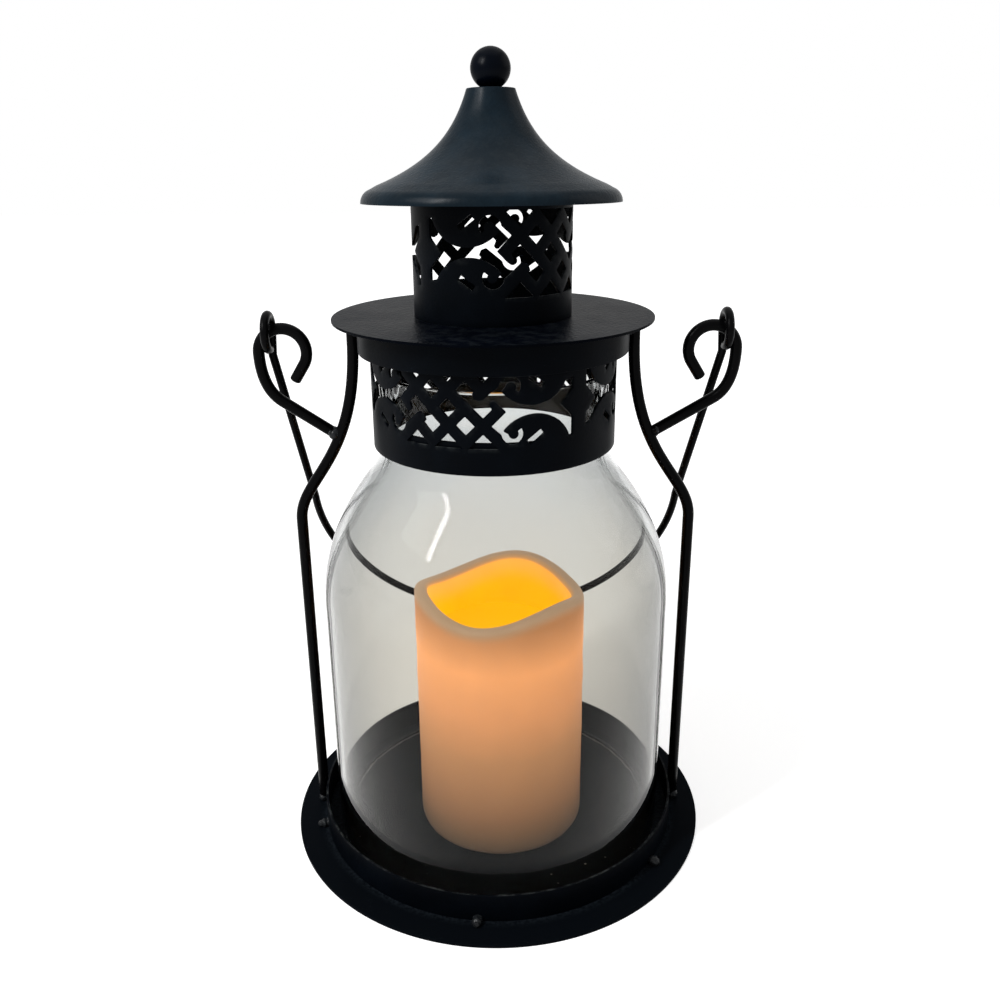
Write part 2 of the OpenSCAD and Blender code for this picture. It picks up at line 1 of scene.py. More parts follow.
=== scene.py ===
"""Dresses the hurricane lantern: black enamelled steel, a blown glass jar and a glowing wax candle."""

from __future__ import annotations

import json
import logging
import math
from dataclasses import dataclass
from enum import Enum
from typing import Any, Mapping, Optional, Sequence, Union

import bmesh
import bpy
from mathutils import Matrix, Vector, kdtree, noise
from mathutils.geometry import delaunay_2d_cdt


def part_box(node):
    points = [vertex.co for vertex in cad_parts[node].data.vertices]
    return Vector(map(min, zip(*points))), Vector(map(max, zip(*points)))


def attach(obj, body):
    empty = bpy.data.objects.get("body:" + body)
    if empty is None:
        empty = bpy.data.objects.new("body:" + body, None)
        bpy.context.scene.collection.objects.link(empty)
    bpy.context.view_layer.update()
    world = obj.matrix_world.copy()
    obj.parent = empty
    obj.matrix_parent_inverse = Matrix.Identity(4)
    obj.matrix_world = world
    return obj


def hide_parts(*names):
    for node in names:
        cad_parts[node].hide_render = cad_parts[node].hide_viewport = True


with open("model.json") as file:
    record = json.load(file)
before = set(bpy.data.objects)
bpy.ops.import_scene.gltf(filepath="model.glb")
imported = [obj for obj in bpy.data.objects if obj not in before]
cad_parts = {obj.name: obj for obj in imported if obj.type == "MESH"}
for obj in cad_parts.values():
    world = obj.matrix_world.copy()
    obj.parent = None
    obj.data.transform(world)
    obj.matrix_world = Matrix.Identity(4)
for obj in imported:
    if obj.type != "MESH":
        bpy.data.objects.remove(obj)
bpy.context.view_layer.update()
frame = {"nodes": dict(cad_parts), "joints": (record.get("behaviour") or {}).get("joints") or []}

MM = 0.001
FULL_TURN = 2 * math.pi
TINY = 1e-7
LOG = logging.getLogger("lantern")

Colour = tuple[float, float, float]
Span = tuple[float, float]
Value = Union["Sock", float]


# Node trees


@dataclass(eq=False)
class Sock:
    """A node's output that can be used in arithmetic: each operator adds one Math node."""

    tree: Nodes
    node: bpy.types.Node
    socket: Optional[bpy.types.NodeSocket]

    def of(self, name: str) -> Sock:
        """Another output of the same node."""
        return Sock(self.tree, self.node, Nodes.live(self.node.outputs, name))

    def __add__(self, other: Value) -> Sock:
        """This plus other."""
        return self.tree.math("ADD", self, other)

    def __radd__(self, other: Value) -> Sock:
        """Other plus this."""
        return self.tree.math("ADD", other, self)

    def __sub__(self, other: Value) -> Sock:
        """This minus other."""
        return self.tree.math("SUBTRACT", self, other)

    def __rsub__(self, other: Value) -> Sock:
        """Other minus this."""
        return self.tree.math("SUBTRACT", other, self)

    def __mul__(self, other: Value) -> Sock:
        """This times other."""
        return self.tree.math("MULTIPLY", self, other)

    def __rmul__(self, other: Value) -> Sock:
        """Other times this."""
        return self.tree.math("MULTIPLY", other, self)

    def __truediv__(self, other: Value) -> Sock:
        """This over other."""
        return self.tree.math("DIVIDE", self, other)

    def __rtruediv__(self, other: Value) -> Sock:
        """Other over this."""
        return self.tree.math("DIVIDE", other, self)


class Nodes:
    """A node tree, with one method that makes any node."""

    def __init__(self, tree: bpy.types.NodeTree) -> None:
        """Keeps the tree."""
        self.tree = tree

    @staticmethod
    def live(sockets: Any, key: Union[str, int]) -> bpy.types.NodeSocket:
        """Finds a socket.

        Args:
            sockets: A node's inputs or outputs.
            key: The socket's place, or its name.

        Returns:
            The socket at that place, or the live one of that name.
        """
        if isinstance(key, int):
            return sockets[key]
        return next(s for s in sockets if s.enabled and s.name == key)

    def make(
        self,
        kind: str,
        settings: Optional[Mapping[str, Any]] = None,
        values: Optional[Mapping[Union[str, int], Any]] = None,
    ) -> Sock:
        """Adds a node to the tree.

        Args:
            kind: The node's type.
            settings: Its settings, set first. A ramp's stops are pairs of place and colour.
            values: The values or links of its sockets, by name or place.

        Returns:
            The node's first live output.
        """
        node = self.tree.nodes.new(kind)
        for name, value in (settings or {}).items():
            if name == "stops":
                self.set_stops(node.color_ramp, value)
            else:
                setattr(node, name, value)
        for key, value in (values or {}).items():
            socket = self.live(node.inputs, key)
            if isinstance(value, Sock):
                self.tree.links.new(value.socket, socket)
            else:
                socket.default_value = value
        outputs = [s for s in node.outputs if s.enabled]
        return Sock(self, node, outputs[0] if outputs else None)

    @staticmethod
    def set_stops(ramp: bpy.types.ColorRamp, stops: Sequence[tuple[float, Colour]]) -> None:
        """Gives a colour ramp its stops.

        Args:
            ramp: The ramp, with two stops of its own.
            stops: Place and colour of each stop, in order.
        """
        while len(ramp.elements) < len(stops):
            ramp.elements.new(1.0)
        for element, (place, colour) in zip(ramp.elements, stops):
            element.position = place
            element.color = (*colour, 1.0)

    def math(self, operation: str, *values: Value) -> Sock:
        """One Math node on the values."""
        return self.make("ShaderNodeMath", {"operation": operation}, dict(enumerate(values)))

    def split(self, vector: Sock) -> tuple[Sock, Sock, Sock]:
        """The three parts of a vector."""
        parts = self.make("ShaderNodeSeparateXYZ", values={"Vector": vector})
        return parts.of("X"), parts.of("Y"), parts.of("Z")


class Shader(Nodes):
    """The node tree of one material."""

    def __init__(self, name: str) -> None:
        """Makes the material and empties its tree.

        Args:
            name: The material's name.
        """
        self.material = bpy.data.materials.new(name)
        self.material.use_nodes = True
        self.material.node_tree.nodes.clear()
        super().__init__(self.material.node_tree)

    def place(self) -> Sock:
        """Object coordinates, in metres."""
        return self.make("ShaderNodeTexCoord").of("Object")

    def off_axis(self, x: float = 0.0, y: float = 0.0) -> Sock:
        """Distance from an upright axis.

        Args:
            x: The axis's place across, in millimetres.
            y: Its place along.

        Returns:
            The distance, in millimetres.
        """
        across, along, _ = self.split(self.place())
        right = across / MM - x
        back = along / MM - y
        return self.math("SQRT", right * right + back * back)

    def upward(self) -> Sock:
        """How much the surface faces up, from 0 to 1."""
        normal = self.make("ShaderNodeNewGeometry").of("Normal")
        return self.math("MAXIMUM", self.split(normal)[2], 0.0)

    def noise(self, spacing: float, detail: float = 3.0, rough: float = 0.5, stretch: float = 1.0) -> Sock:
        """Soft noise.

        Args:
            spacing: Distance from one patch to the next, in millimetres.
            detail: How many finer layers it has.
            rough: How strong the finer layers are.
            stretch: How much longer the patches are upwards than across.

        Returns:
            The noise, about 0.5 on average.
        """
        scale = {"Vector": self.place(), "Scale": (1, 1, 1 / stretch)}
        vector = self.make("ShaderNodeMapping", values=scale)
        values = {"Vector": vector, "Scale": 1 / (spacing * MM), "Detail": detail, "Roughness": rough}
        return self.make("ShaderNodeTexNoise", values=values)

    def spots(self, spacing: float, full: float, end: float) -> Sock:
        """Scattered round spots.

        Args:
            spacing: Distance from one spot to the next, in millimetres.
            full: How far from its middle a spot is full, as a share of the spacing.
            end: How far from its middle it ends.

        Returns:
            1 on the spots and 0 between them.
        """
        cells = {"Vector": self.place(), "Scale": 1 / (spacing * MM), "Randomness": 1.0}
        return 1 - self.step(self.make("ShaderNodeTexVoronoi", values=cells), full, end)

    def step(self, value: Sock, low: float, high: float) -> Sock:
        """Rises smoothly from 0 at low to 1 at high."""
        settings = {"interpolation_type": "SMOOTHSTEP"}
        return self.make("ShaderNodeMapRange", settings, {"Value": value, "From Min": low, "From Max": high})

    @staticmethod
    def varied(middle: Value, pattern: Sock, amount: float) -> Sock:
        """A value that a noise moves up and down round its middle."""
        return middle + (pattern - 0.5) * amount

    def blend(self, share: Value, first: Any, second: Any, mode: str = "MIX") -> Sock:
        """Mixes two colours.

        Args:
            share: How much of the second there is.
            first: The first colour, or a link.
            second: The second colour, or a link.
            mode: How the two are mixed.

        Returns:
            The mixed colour.
        """
        colours = [c if isinstance(c, Sock) else (*c, 1.0) for c in (first, second)]
        values = {"Factor": share, "A": colours[0], "B": colours[1]}
        return self.make("ShaderNodeMix", {"data_type": "RGBA", "blend_type": mode}, values)

    def grey(self, value: Sock) -> Sock:
        """A number as a grey colour."""
        return self.make("ShaderNodeCombineColor", values={"Red": value, "Green": value, "Blue": value})

    def bump(self, height: Sock, depth: float) -> Sock:
        """A surface roughened by a height from 0 to 1, that deep in millimetres."""
        return self.make("ShaderNodeBump", values={"Strength": 1.0, "Distance": depth * MM, "Height": height})

    def surface(self, **values: Any) -> bpy.types.Material:
        """Ends the tree in a Principled shader.

        Args:
            values: The values or links of its sockets, named with underscores for blanks.

        Returns:
            The finished material.
        """
        named = {}
        for name, value in values.items():
            label = name.replace("_", " ").title().replace("Ior", "IOR")
            named[label] = (*value, 1.0) if isinstance(value, tuple) and len(value) == 3 else value
        skin = self.make("ShaderNodeBsdfPrincipled", values=named)
        self.make("ShaderNodeOutputMaterial", values={"Surface": skin})
        return self.material


# Finishes


def toned(colour: Colour, share: float) -> Colour:
    """A colour with that share of its light."""
    red, green, blue = colour
    return share * red, share * green, share * blue


class PaintCoat(Enum):
    """Where the black enamel lies."""

    ROOF = "roof_enamel"
    CANOPY = "canopy_enamel"
    BAND = "band_enamel"
    ROD = "rod_enamel"
    FOOT = "foot_enamel"
    KNOB = "knob_enamel"
    WELD = "weld_enamel"


@dataclass(frozen=True)
class Enamel:
    """Black enamel on steel, with a fine orange peel, cloudy gloss, and a pale layer on what faces up that is
    dust in part and painted light from above in part.
    """

    tone: Colour
    roughness: float
    gloss: float
    # Share of the pale layer on upward faces: dust in part, painted light from above in part.
    dust: float = 0.0
    dust_tone: Colour = (0.10, 0.11, 0.11)
    peel: float = 0.04
    peel_spacing: float = 0.9
    coat: float = 0.0
    coat_roughness: float = 0.28
    cloud_spacing: float = 22.0
    cloud_gain: float = 1.7
    cloud_dulling: float = 0.16
    streak_spacing: float = 5.0
    dust_dulling: float = 0.3

    def build(self, name: str) -> bpy.types.Material:
        """Makes the material.

        Args:
            name: The material's name.

        Returns:
            The material.
        """
        shader = Shader(name)
        clouds = shader.noise(self.cloud_spacing, 4.0, 0.6)
        peel = shader.noise(self.peel_spacing, 2.0)
        streaks = shader.noise(self.streak_spacing, 5.0, 0.65)
        pale = toned(self.tone, self.cloud_gain)
        worn = shader.blend(shader.step(clouds, 0.35, 0.75), self.tone, pale)
        # Pale patches on upward faces: dust, and painted light from above on tops and cut edges.
        dust_and_light_layer = shader.upward() * shader.step(streaks, 0.42, 0.66) * self.dust
        dulled = shader.varied(self.roughness, clouds, self.cloud_dulling)
        return shader.surface(
            base_color=shader.blend(dust_and_light_layer, worn, self.dust_tone),
            roughness=dulled + dust_and_light_layer * self.dust_dulling,
            specular_ior_level=self.gloss,
            coat_weight=self.coat,
            coat_roughness=self.coat_roughness,
            normal=shader.bump(peel, self.peel),
        )


# The fourth value is the pale layer on upward faces, dust and painted light from above: on the bands it
# paints the lit cut edges of the openings, on the canopy a painted bluish sheen.
ENAMELS: dict[PaintCoat, Enamel] = {
    PaintCoat.ROOF: Enamel(
        (0.0034, 0.0080, 0.0124), 0.28, 0.008, 0.04, peel=0.20, peel_spacing=1.3, coat=0.10
    ),
    PaintCoat.CANOPY: Enamel(
        (0.0006, 0.0010, 0.0022), 0.34, 0.010, 0.08, (0.055, 0.066, 0.074), peel=0.2, peel_spacing=1.4
    ),
    PaintCoat.BAND: Enamel((0.0010, 0.0016, 0.0026), 0.42, 0.020, 0.5),
    PaintCoat.ROD: Enamel((0.0014, 0.0014, 0.0016), 0.26, 0.030, peel=0.03),
    PaintCoat.FOOT: Enamel((0.0008, 0.0013, 0.0022), 0.42, 0.018, 0.25),
    PaintCoat.KNOB: Enamel((0.0004, 0.0010, 0.0026), 0.24, 0.010, coat=0.05),
    PaintCoat.WELD: Enamel((0.007, 0.008, 0.009), 0.26, 0.12, peel=0.10, peel_spacing=0.6),
}


@dataclass(frozen=True)
class BareAndGlowInside:
    """Black enamel outside a hoop, and a lighter warm brown inside it: dull bare steel, which the candle
    warms, with the candle's glow partly painted in.
    """

    tone: Colour = (0.0010, 0.0016, 0.0026)
    # Warm brown inside: bare steel, and painted candle glow.
    bare: Colour = (0.055, 0.047, 0.039)
    gloss: float = 0.02
    roughness: float = 0.5
    stain: float = 0.7
    stain_spacing: float = 16.0
    blur: float = 0.2

    def build(self, name: str, middle_r: float) -> bpy.types.Material:
        """Makes the material.

        Args:
            name: The material's name.
            middle_r: Radius of the middle of the sheet, in millimetres.

        Returns:
            The material.
        """
        shader = Shader(name)
        clouds = shader.noise(self.stain_spacing, 4.0, 0.6)
        stained = shader.blend(shader.step(clouds, 0.3, 0.7), self.bare, toned(self.bare, self.stain))
        outside = shader.step(shader.off_axis() - middle_r, -self.blur, self.blur)
        return shader.surface(
            base_color=shader.blend(outside, stained, self.tone),
            roughness=shader.varied(self.roughness, clouds, 0.2),
            specular_ior_level=self.gloss,
        )


@dataclass(frozen=True)
class TrayDustAndPaintedLight:
    """Enamel of the base plate: dark outside; lighter inside the glass with dust and a painted veil of the
    glass's reflection, and speckled; grime and painted light round the ring; painted light along the back of
    the glass foot.
    """

    tone: Colour = (0.0022, 0.0031, 0.0044)
    gloss: float = 0.006
    roughness: float = 0.46
    grain: float = 0.008
    grain_spacing: float = 1.5
    cloud_spacing: float = 18.0
    # Lighter colour inside the glass: dust, and a painted veil of the glass's reflection.
    dust: Colour = (0.0115, 0.0155, 0.0190)
    dust_low: float = 0.75
    dust_fade: Span = (-5.0, -2.0)
    dust_dulling: float = 0.3
    # Lighter cool tone from the glass out past the ring: grime along the ring's foot, and painted light in
    # the shaded trough.
    trough: Colour = (0.0130, 0.0170, 0.0215)
    trough_share: float = 0.6
    trough_reach: float = 4.0
    # Painted light: a pale wavy arc along the back of the glass foot.
    foot_light_tone: Colour = (0.24, 0.245, 0.24)
    foot_light_inset: float = 4.6
    foot_light_half: Span = (0.1, 0.8)
    foot_light_wander: float = 6.0
    foot_light_fade: float = 30.0
    speck: Colour = (0.2, 0.2, 0.19)
    speck_size: Span = (0.05, 0.11)
    speck_spacing: float = 6.0

    def build(self, name: str, glass_r: float, ring_r: float) -> bpy.types.Material:
        """Makes the material.

        Args:
            name: The material's name.
            glass_r: Radius of the glass that stands on the plate, in millimetres.
            ring_r: Radius of the ring round it.

        Returns:
            The material.
        """
        shader = Shader(name)
        clouds = shader.noise(self.cloud_spacing, 5.0, 0.65)
        grain = shader.noise(self.grain_spacing, 3.0, 0.6)
        reach = shader.off_axis()
        inside = 1 - shader.step(reach - glass_r, *self.dust_fade)
        # Inside the glass: dust, and a painted veil of the glass's reflection.
        dust_and_light_layer = shader.blend(shader.step(clouds, 0.25, 0.8), toned(self.dust, self.dust_low), self.dust)
        # From the glass out past the ring: grime, and painted light in the shaded trough.
        beside = 1 - shader.step(reach - ring_r, 0.0, self.trough_reach)
        grime_and_light = beside * shader.step(grain, 0.35, 0.65) * self.trough_share
        # Painted light: a pale wavy arc just inside the back of the glass foot.
        from_foot_light = shader.varied(reach + (self.foot_light_inset - glass_r), clouds, self.foot_light_wander)
        line = 1 - shader.step(shader.math("ABSOLUTE", from_foot_light), *self.foot_light_half)
        behind = shader.step(shader.split(shader.place())[1], 0.0, self.foot_light_fade * MM)
        specks = shader.spots(self.speck_spacing, *self.speck_size) * shader.step(clouds, 0.4, 0.7)
        colour = shader.blend(inside, shader.blend(grime_and_light, self.tone, self.trough), dust_and_light_layer)
        colour = shader.blend(line * behind, colour, self.foot_light_tone)
        return shader.surface(
            base_color=shader.blend(specks * inside, colour, self.speck),
            roughness=shader.varied(self.roughness + inside * self.dust_dulling, clouds, 0.2),
            specular_ior_level=self.gloss,
            normal=shader.bump(grain, self.grain),
        )


@dataclass(frozen=True)
class ClearGlass:
    """Clear blown glass with slow waves in its wall; its grey tint is painted shade of what is seen through
    it, its greyer shoulder painted reflection, its dark edges painted shade.
    """

    # Grey tint: painted shade of what is seen through the glass.
    tone: Colour = (0.72, 0.705, 0.662)
    # Painted reflection: greyer, bluer glass at the shoulder.
    shoulder: Colour = (0.705, 0.718, 0.715)
    shoulder_wander: float = 50.0
    # Painted shade: darker glass where the wall is seen edge-on.
    edge: Colour = (0.34, 0.35, 0.35)
    edge_slant: Span = (0.10, 0.97)
    sheen: Colour = (0.22, 0.22, 0.22)
    index: float = 1.3
    wave: float = 0.10
    wave_spacing: float = 34.0
    wave_stretch: float = 1.6

    def build(self, name: str, shoulder_z: float, neck_z: float) -> bpy.types.Material:
        """Makes the material.

        Args:
            name: The material's name.
            shoulder_z: Height at which the shoulder starts, in millimetres.
            neck_z: Height at which it ends.

        Returns:
            The material.
        """
        shader = Shader(name)
        waves = shader.noise(self.wave_spacing, 1.0, 0.4, self.wave_stretch)
        height = shader.split(shader.place())[2] / MM
        rise = shader.step(shader.varied(height, waves, self.shoulder_wander), shoulder_z, neck_z)
        slant = shader.make("ShaderNodeLayerWeight", values={"Blend": 0.5}).of("Facing")
        # Painted reflection at the shoulder, then painted shade at the edges.
        wall = shader.blend(rise, self.tone, self.shoulder)
        return shader.surface(
            base_color=shader.blend(shader.step(slant, *self.edge_slant), wall, self.edge),
            roughness=0.0,
            ior=self.index,
            transmission_weight=1.0,
            specular_tint=self.sheen,
            normal=shader.bump(waves, self.wave),
        )


@dataclass(frozen=True)
class GlowingWax:
    """Wax whose glow from the lamp inside is painted on as emission: amber in the hollow, peach under the rim
    with a painted shade band at the lip, painted darker towards the foot and painted lighter on the left.
    """

    unlit: Colour = (0.22, 0.15, 0.10)
    unlit_hollow: Colour = (0.30, 0.15, 0.01)
    gloss: float = 0.2
    roughness: float = 0.5
    grain: float = 0.05
    grain_spacing: float = 1.6
    # The glow is painted light: an emission that stands in for the lamp's light through the wax.
    strength: float = 1.3
    amber: Colour = (1.0, 0.43, 0.0)
    amber_depth: Span = (3.0, 15.0)
    blush: Colour = (1.0, 0.42, 0.07)
    blush_depth: Span = (1.4, 3.4)
    # Painted glow on and near the lip: dull tan.
    lip: Colour = (0.32, 0.215, 0.13)
    lip_depth: Span = (0.4, 6.0)
    hollow_edge: Span = (0.1, 1.3)
    # Painted light from the left: how much brighter the left side glows.
    painted_left_light: float = 0.11
    mottle: float = 0.24
    mottle_spacing: float = 14.0
    fleck: float = 0.35
    fleck_size: Span = (0.02, 0.045)
    fleck_spacing: float = 13.0
    # Painted glow up the outside wall: shaded dark at the foot, brightest below the rim, and darker again as
    # painted shade at the lip.
    wall: tuple[tuple[float, Colour], ...] = (
        (0.03, (0.04, 0.028, 0.02)),
        (0.22, (0.215, 0.096, 0.042)),
        (0.43, (0.38, 0.166, 0.063)),
        (0.62, (0.66, 0.26, 0.092)),
        (0.80, (0.85, 0.335, 0.11)),
        (0.97, (0.40, 0.15, 0.042)),
    )

    def build(self, name: str, candle: Candle) -> bpy.types.Material:
        """Makes the material.

        Args:
            name: The material's name.
            candle: The candle that it covers.

        Returns:
            The material.
        """
        shader = Shader(name)
        x, _, z = shader.split(shader.place())
        depth = shader.make("ShaderNodeAttribute", {"attribute_name": Candle.DEPTH}).of("Fac")
        off_axis = shader.off_axis(candle.x, candle.y)
        inside = 1 - shader.step(off_axis - candle.inner_r, *self.hollow_edge)
        height = (z / MM - candle.foot_z) / (candle.rim_z - candle.foot_z)
        mottle = shader.noise(self.mottle_spacing, 4.0, 0.6)
        grain = shader.noise(self.grain_spacing, 3.0, 0.6)
        wall = shader.make("ShaderNodeValToRGB", {"stops": self.wall}, {"Fac": height})
        wall = shader.blend(shader.step(depth, *self.lip_depth), self.lip, wall)
        hollow = shader.blend(shader.step(depth, *self.blush_depth), self.lip, self.blush)
        hollow = shader.blend(shader.step(depth, *self.amber_depth), hollow, self.amber)
        flecks = shader.spots(self.fleck_spacing, *self.fleck_size)
        # Painted light: the glow is lighter on the left side.
        left_light_ramp = (candle.x - x / MM) * (self.painted_left_light / candle.outer_r)
        shade = shader.varied(1.0, mottle, self.mottle) - self.fleck * flecks + left_light_ramp
        lit = shader.blend(inside, wall, hollow)
        return shader.surface(
            base_color=shader.blend(inside, self.unlit, self.unlit_hollow),
            roughness=shader.varied(self.roughness, grain, 0.2),
            specular_ior_level=self.gloss,
            emission_color=shader.blend(1.0, lit, shader.grey(shade), "MULTIPLY"),
            emission_strength=self.strength,
            normal=shader.bump(grain, self.grain),
        )


@dataclass(frozen=True)
class GlowBowl:
    """Amber floor of the hollow, lit from below and brightest over the lamp."""

    unlit: Colour = (0.3, 0.15, 0.0)
    roughness: float = 0.45
    grain: float = 0.04
    grain_spacing: float = 2.5
    centre: Colour = (1.0, 0.46, 0.0)
    edge: Colour = (1.0, 0.43, 0.0)
    strength: float = 1.3

    def build(self, name: str, candle: Candle) -> bpy.types.Material:
        """Makes the material.

        Args:
            name: The material's name.
            candle: The candle that it lies in.

        Returns:
            The material.
        """
        shader = Shader(name)
        spread = shader.step(shader.off_axis(candle.x, candle.y), 0.0, candle.inner_r)
        grain = shader.noise(self.grain_spacing)
        return shader.surface(
            base_color=self.unlit,
            roughness=shader.varied(self.roughness, grain, 0.2),
            emission_color=shader.blend(spread, self.centre, self.edge),
            emission_strength=self.strength,
            normal=shader.bump(grain, self.grain),
        )


class Stuff(Enum):
    """What the pieces that keep their own shape are made of."""

    BARE_STEEL = "bare_steel"
    CONTACT_STEEL = "contact_steel"
    CORE_PLASTIC = "core_plastic"
    LAMP_LENS = "lamp_lens"
    CIRCUIT_BOARD = "circuit_board"
    CELL_JACKET = "cell_jacket"
    SWITCH_PLASTIC = "switch_plastic"


@dataclass(frozen=True)
class Moulding:
    """Moulded plastic, or another plain material with a fine grain."""

    tone: Colour
    roughness: float = 0.45
    metallic: float = 0.0
    grain: float = 0.03
    grain_spacing: float = 0.7
    glow: float = 0.0
    cloud: float = 0.85
    cloud_spacing: float = 9.0

    def build(self, name: str) -> bpy.types.Material:
        """Makes the material.

        Args:
            name: The material's name.

        Returns:
            The material.
        """
        shader = Shader(name)
        clouds = shader.noise(self.cloud_spacing, 4.0)
        grain = shader.noise(self.grain_spacing, 2.0)
        return shader.surface(
            base_color=shader.blend(shader.step(clouds, 0.3, 0.7), self.tone, toned(self.tone, self.cloud)),
            metallic=self.metallic,
            roughness=shader.varied(self.roughness, clouds, 0.2),
            emission_color=self.tone,
            emission_strength=self.glow,
            normal=shader.bump(grain, self.grain),
        )


STEEL = Moulding((0.52, 0.53, 0.55), 0.32, 1.0, 0.01, 0.4)
MOULDINGS: dict[Stuff, Moulding] = {
    Stuff.BARE_STEEL: STEEL,
    Stuff.CONTACT_STEEL: STEEL,
    Stuff.CORE_PLASTIC: Moulding((0.72, 0.70, 0.65), 0.5),
    Stuff.LAMP_LENS: Moulding((0.95, 0.62, 0.22), 0.15, glow=0.8),
    Stuff.CIRCUIT_BOARD: Moulding((0.02, 0.14, 0.05), 0.4),
    Stuff.CELL_JACKET: Moulding((0.06, 0.06, 0.065), 0.35),
    Stuff.SWITCH_PLASTIC: Moulding((0.012, 0.012, 0.013), 0.42),
}


# Meshes


SHARP_TURN = 25.0
EASE_STEPS = 4
EASE_SHARE = 0.45


def box_mm(node: str) -> tuple[Vector, Vector]:
    """Lowest and highest corner of a frame node, in millimetres."""
    low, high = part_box(node)
    return low / MM, high / MM


def polar(angle: float, radius: float = 1.0) -> Vector:
    """A flat vector at an angle in degrees."""
    return radius * Vector((math.cos(math.radians(angle)), math.sin(math.radians(angle))))


def arc(centre: Sequence[float], radius: float, start: float, end: float, steps: int) -> list[Vector]:
    """Points along an arc, with its angles in degrees."""
    return [Vector(centre) + polar(start + (end - start) * i / steps, radius) for i in range(steps + 1)]


def bezier(handles: Sequence[Vector], t: float) -> Vector:
    """Follows a cubic curve.

    Args:
        handles: Its start, its two handles and its end.
        t: How far along it, from 0 to 1.

    Returns:
        The point there.
    """
    a, b, c, d = handles
    s = 1 - t
    return s**3 * a + 3 * s * s * t * b + 3 * s * t * t * c + t**3 * d


def ring_section(inner: float, outer: float, low: float, high: float) -> list[Vector]:
    """Section of a plain ring, or of a disc where the inner radius is 0."""
    return [Vector(p) for p in ((inner, low), (outer, low), (outer, high), (inner, high))]


def eased(outline: Sequence[Sequence[float]], radius: float, closed: bool = True) -> list[Vector]:
    """Turns each sharp corner of an outline into a short curve.

    Args:
        outline: The outline's points.
        radius: How far from the corner the curve starts.
        closed: Whether the last point joins the first.

    Returns:
        The new outline.
    """
    points = [Vector(p[:2]) for p in outline]
    result: list[Vector] = []
    for i, here in enumerate(points):
        before = points[i - 1] - here
        after = points[(i + 1) % len(points)] - here
        end_point = not closed and i in (0, len(points) - 1)
        if end_point or math.degrees((-before).angle(after, 0.0)) < SHARP_TURN:
            result.append(here)
            continue
        reach = min(radius, EASE_SHARE * before.length, EASE_SHARE * after.length)
        handles = (here + reach * before.normalized(), here, here, here + reach * after.normalized())
        result += [bezier(handles, k / EASE_STEPS) for k in range(EASE_STEPS + 1)]
    return result


def divided(outline: Sequence[Vector], longest: float) -> list[Vector]:
    """Divides the long edges of a closed outline.

    Args:
        outline: The outline's points.
        longest: The longest edge that stays whole.

    Returns:
        The outline with the new points between the old ones.
    """
    result: list[Vector] = []
    for i, here in enumerate(outline):
        there = outline[(i + 1) % len(outline)]
        pieces = max(1, math.ceil((there - here).length / longest))
        result += [here.lerp(there, k / pieces) for k in range(pieces)]
    return result


def closed_mesh(shell: bmesh.types.BMesh, name: str, sharp: float = 40.0) -> bpy.types.Mesh:
    """Turns a shell into a mesh with merged points and faces that point outwards.

    Args:
        shell: The shell, which is freed.
        name: The mesh's name.
        sharp: Edges that turn more than this, in degrees, stay sharp.

    Returns:
        The mesh.
    """
    bmesh.ops.remove_doubles(shell, verts=shell.verts, dist=TINY)
    bmesh.ops.recalc_face_normals(shell, faces=shell.faces)
    mesh = bpy.data.meshes.new(name)
    shell.to_mesh(mesh)
    shell.free()
    mesh.shade_smooth()
    mesh.set_sharp_from_angle(angle=math.radians(sharp))
    return mesh


def turned(
    name: str, profile: Sequence[Sequence[float]], steps: int = 160, closed: bool = True
) -> bpy.types.Mesh:
    """A round piece turned from a profile.

    Args:
        name: The mesh's name.
        profile: Radius and height of each point, in millimetres.
        steps: How many steps the turn has.
        closed: Whether the profile is a loop. Otherwise it starts and ends on the axis.

    Returns:
        The mesh.
    """
    shell = bmesh.new()
    rings = []
    for radius, height in profile:
        count = steps if radius > TINY else 1
        spots = [polar(360 * k / steps, radius) for k in range(count)]
        rings.append([shell.verts.new((s.x * MM, s.y * MM, height * MM)) for s in spots])
    pairs = list(zip(rings, rings[1:] + rings[:1]))
    for low, high in pairs if closed else pairs[:-1]:
        for k in range(steps):
            after = (k + 1) % steps
            around = ((low, k), (low, after), (high, after), (high, k))
            loop = list(dict.fromkeys(ring[i % len(ring)] for ring, i in around))
            if len(loop) > 2:
                shell.faces.new(loop)
    return closed_mesh(shell, name)


@dataclass(frozen=True)
class Dents:
    """Slight dents of a sheet: how deep and how far apart in millimetres, and which set of them."""

    amount: float
    spacing: float
    seed: float

    def press(self, mesh: bpy.types.Mesh) -> bpy.types.Mesh:
        """Moves a thin round piece slightly in and out, both faces together.

        Args:
            mesh: The mesh to change.

        Returns:
            The same mesh.
        """
        shift = Vector((self.seed, self.seed, self.seed))
        for vertex in mesh.vertices:
            flat = Vector((vertex.co.x, vertex.co.y, 0.0))
            push = noise.noise(vertex.co / (self.spacing * MM) + shift) * self.amount * MM
            if flat.length > self.amount * MM:
                vertex.co += flat.normalized() * push
        return mesh


def add_piece(
    name: str, mesh: bpy.types.Mesh, material: Optional[bpy.types.Material], body: str, slot: str, *nodes: str
) -> None:
    """Adds a finished piece to the scene.

    Args:
        name: The piece's name.
        mesh: Its mesh, in place.
        material: Its material, or None if the mesh has one.
        body: The body that it moves with.
        slot: Not used.
        nodes: The frame nodes that it stands for.
    """
    piece = bpy.data.objects.new(name, mesh)
    bpy.context.scene.collection.objects.link(piece)
    if material is not None:
        mesh.materials.clear()
        mesh.materials.append(material)
    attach(piece, body)
    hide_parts(*nodes)
    LOG.info("%s: %d faces on %s", name, len(mesh.polygons), body)


def dress(material: bpy.types.Material, *nodes: str) -> None:
    """Gives frame nodes that keep their own shape a material.

    Args:
        material: The material.
        nodes: The nodes' names.
    """
    for name in nodes:
        for slot in frame["nodes"][name].material_slots:
            slot.material = material
        LOG.info("%s: keeps its shape", name)


# Geometry Nodes


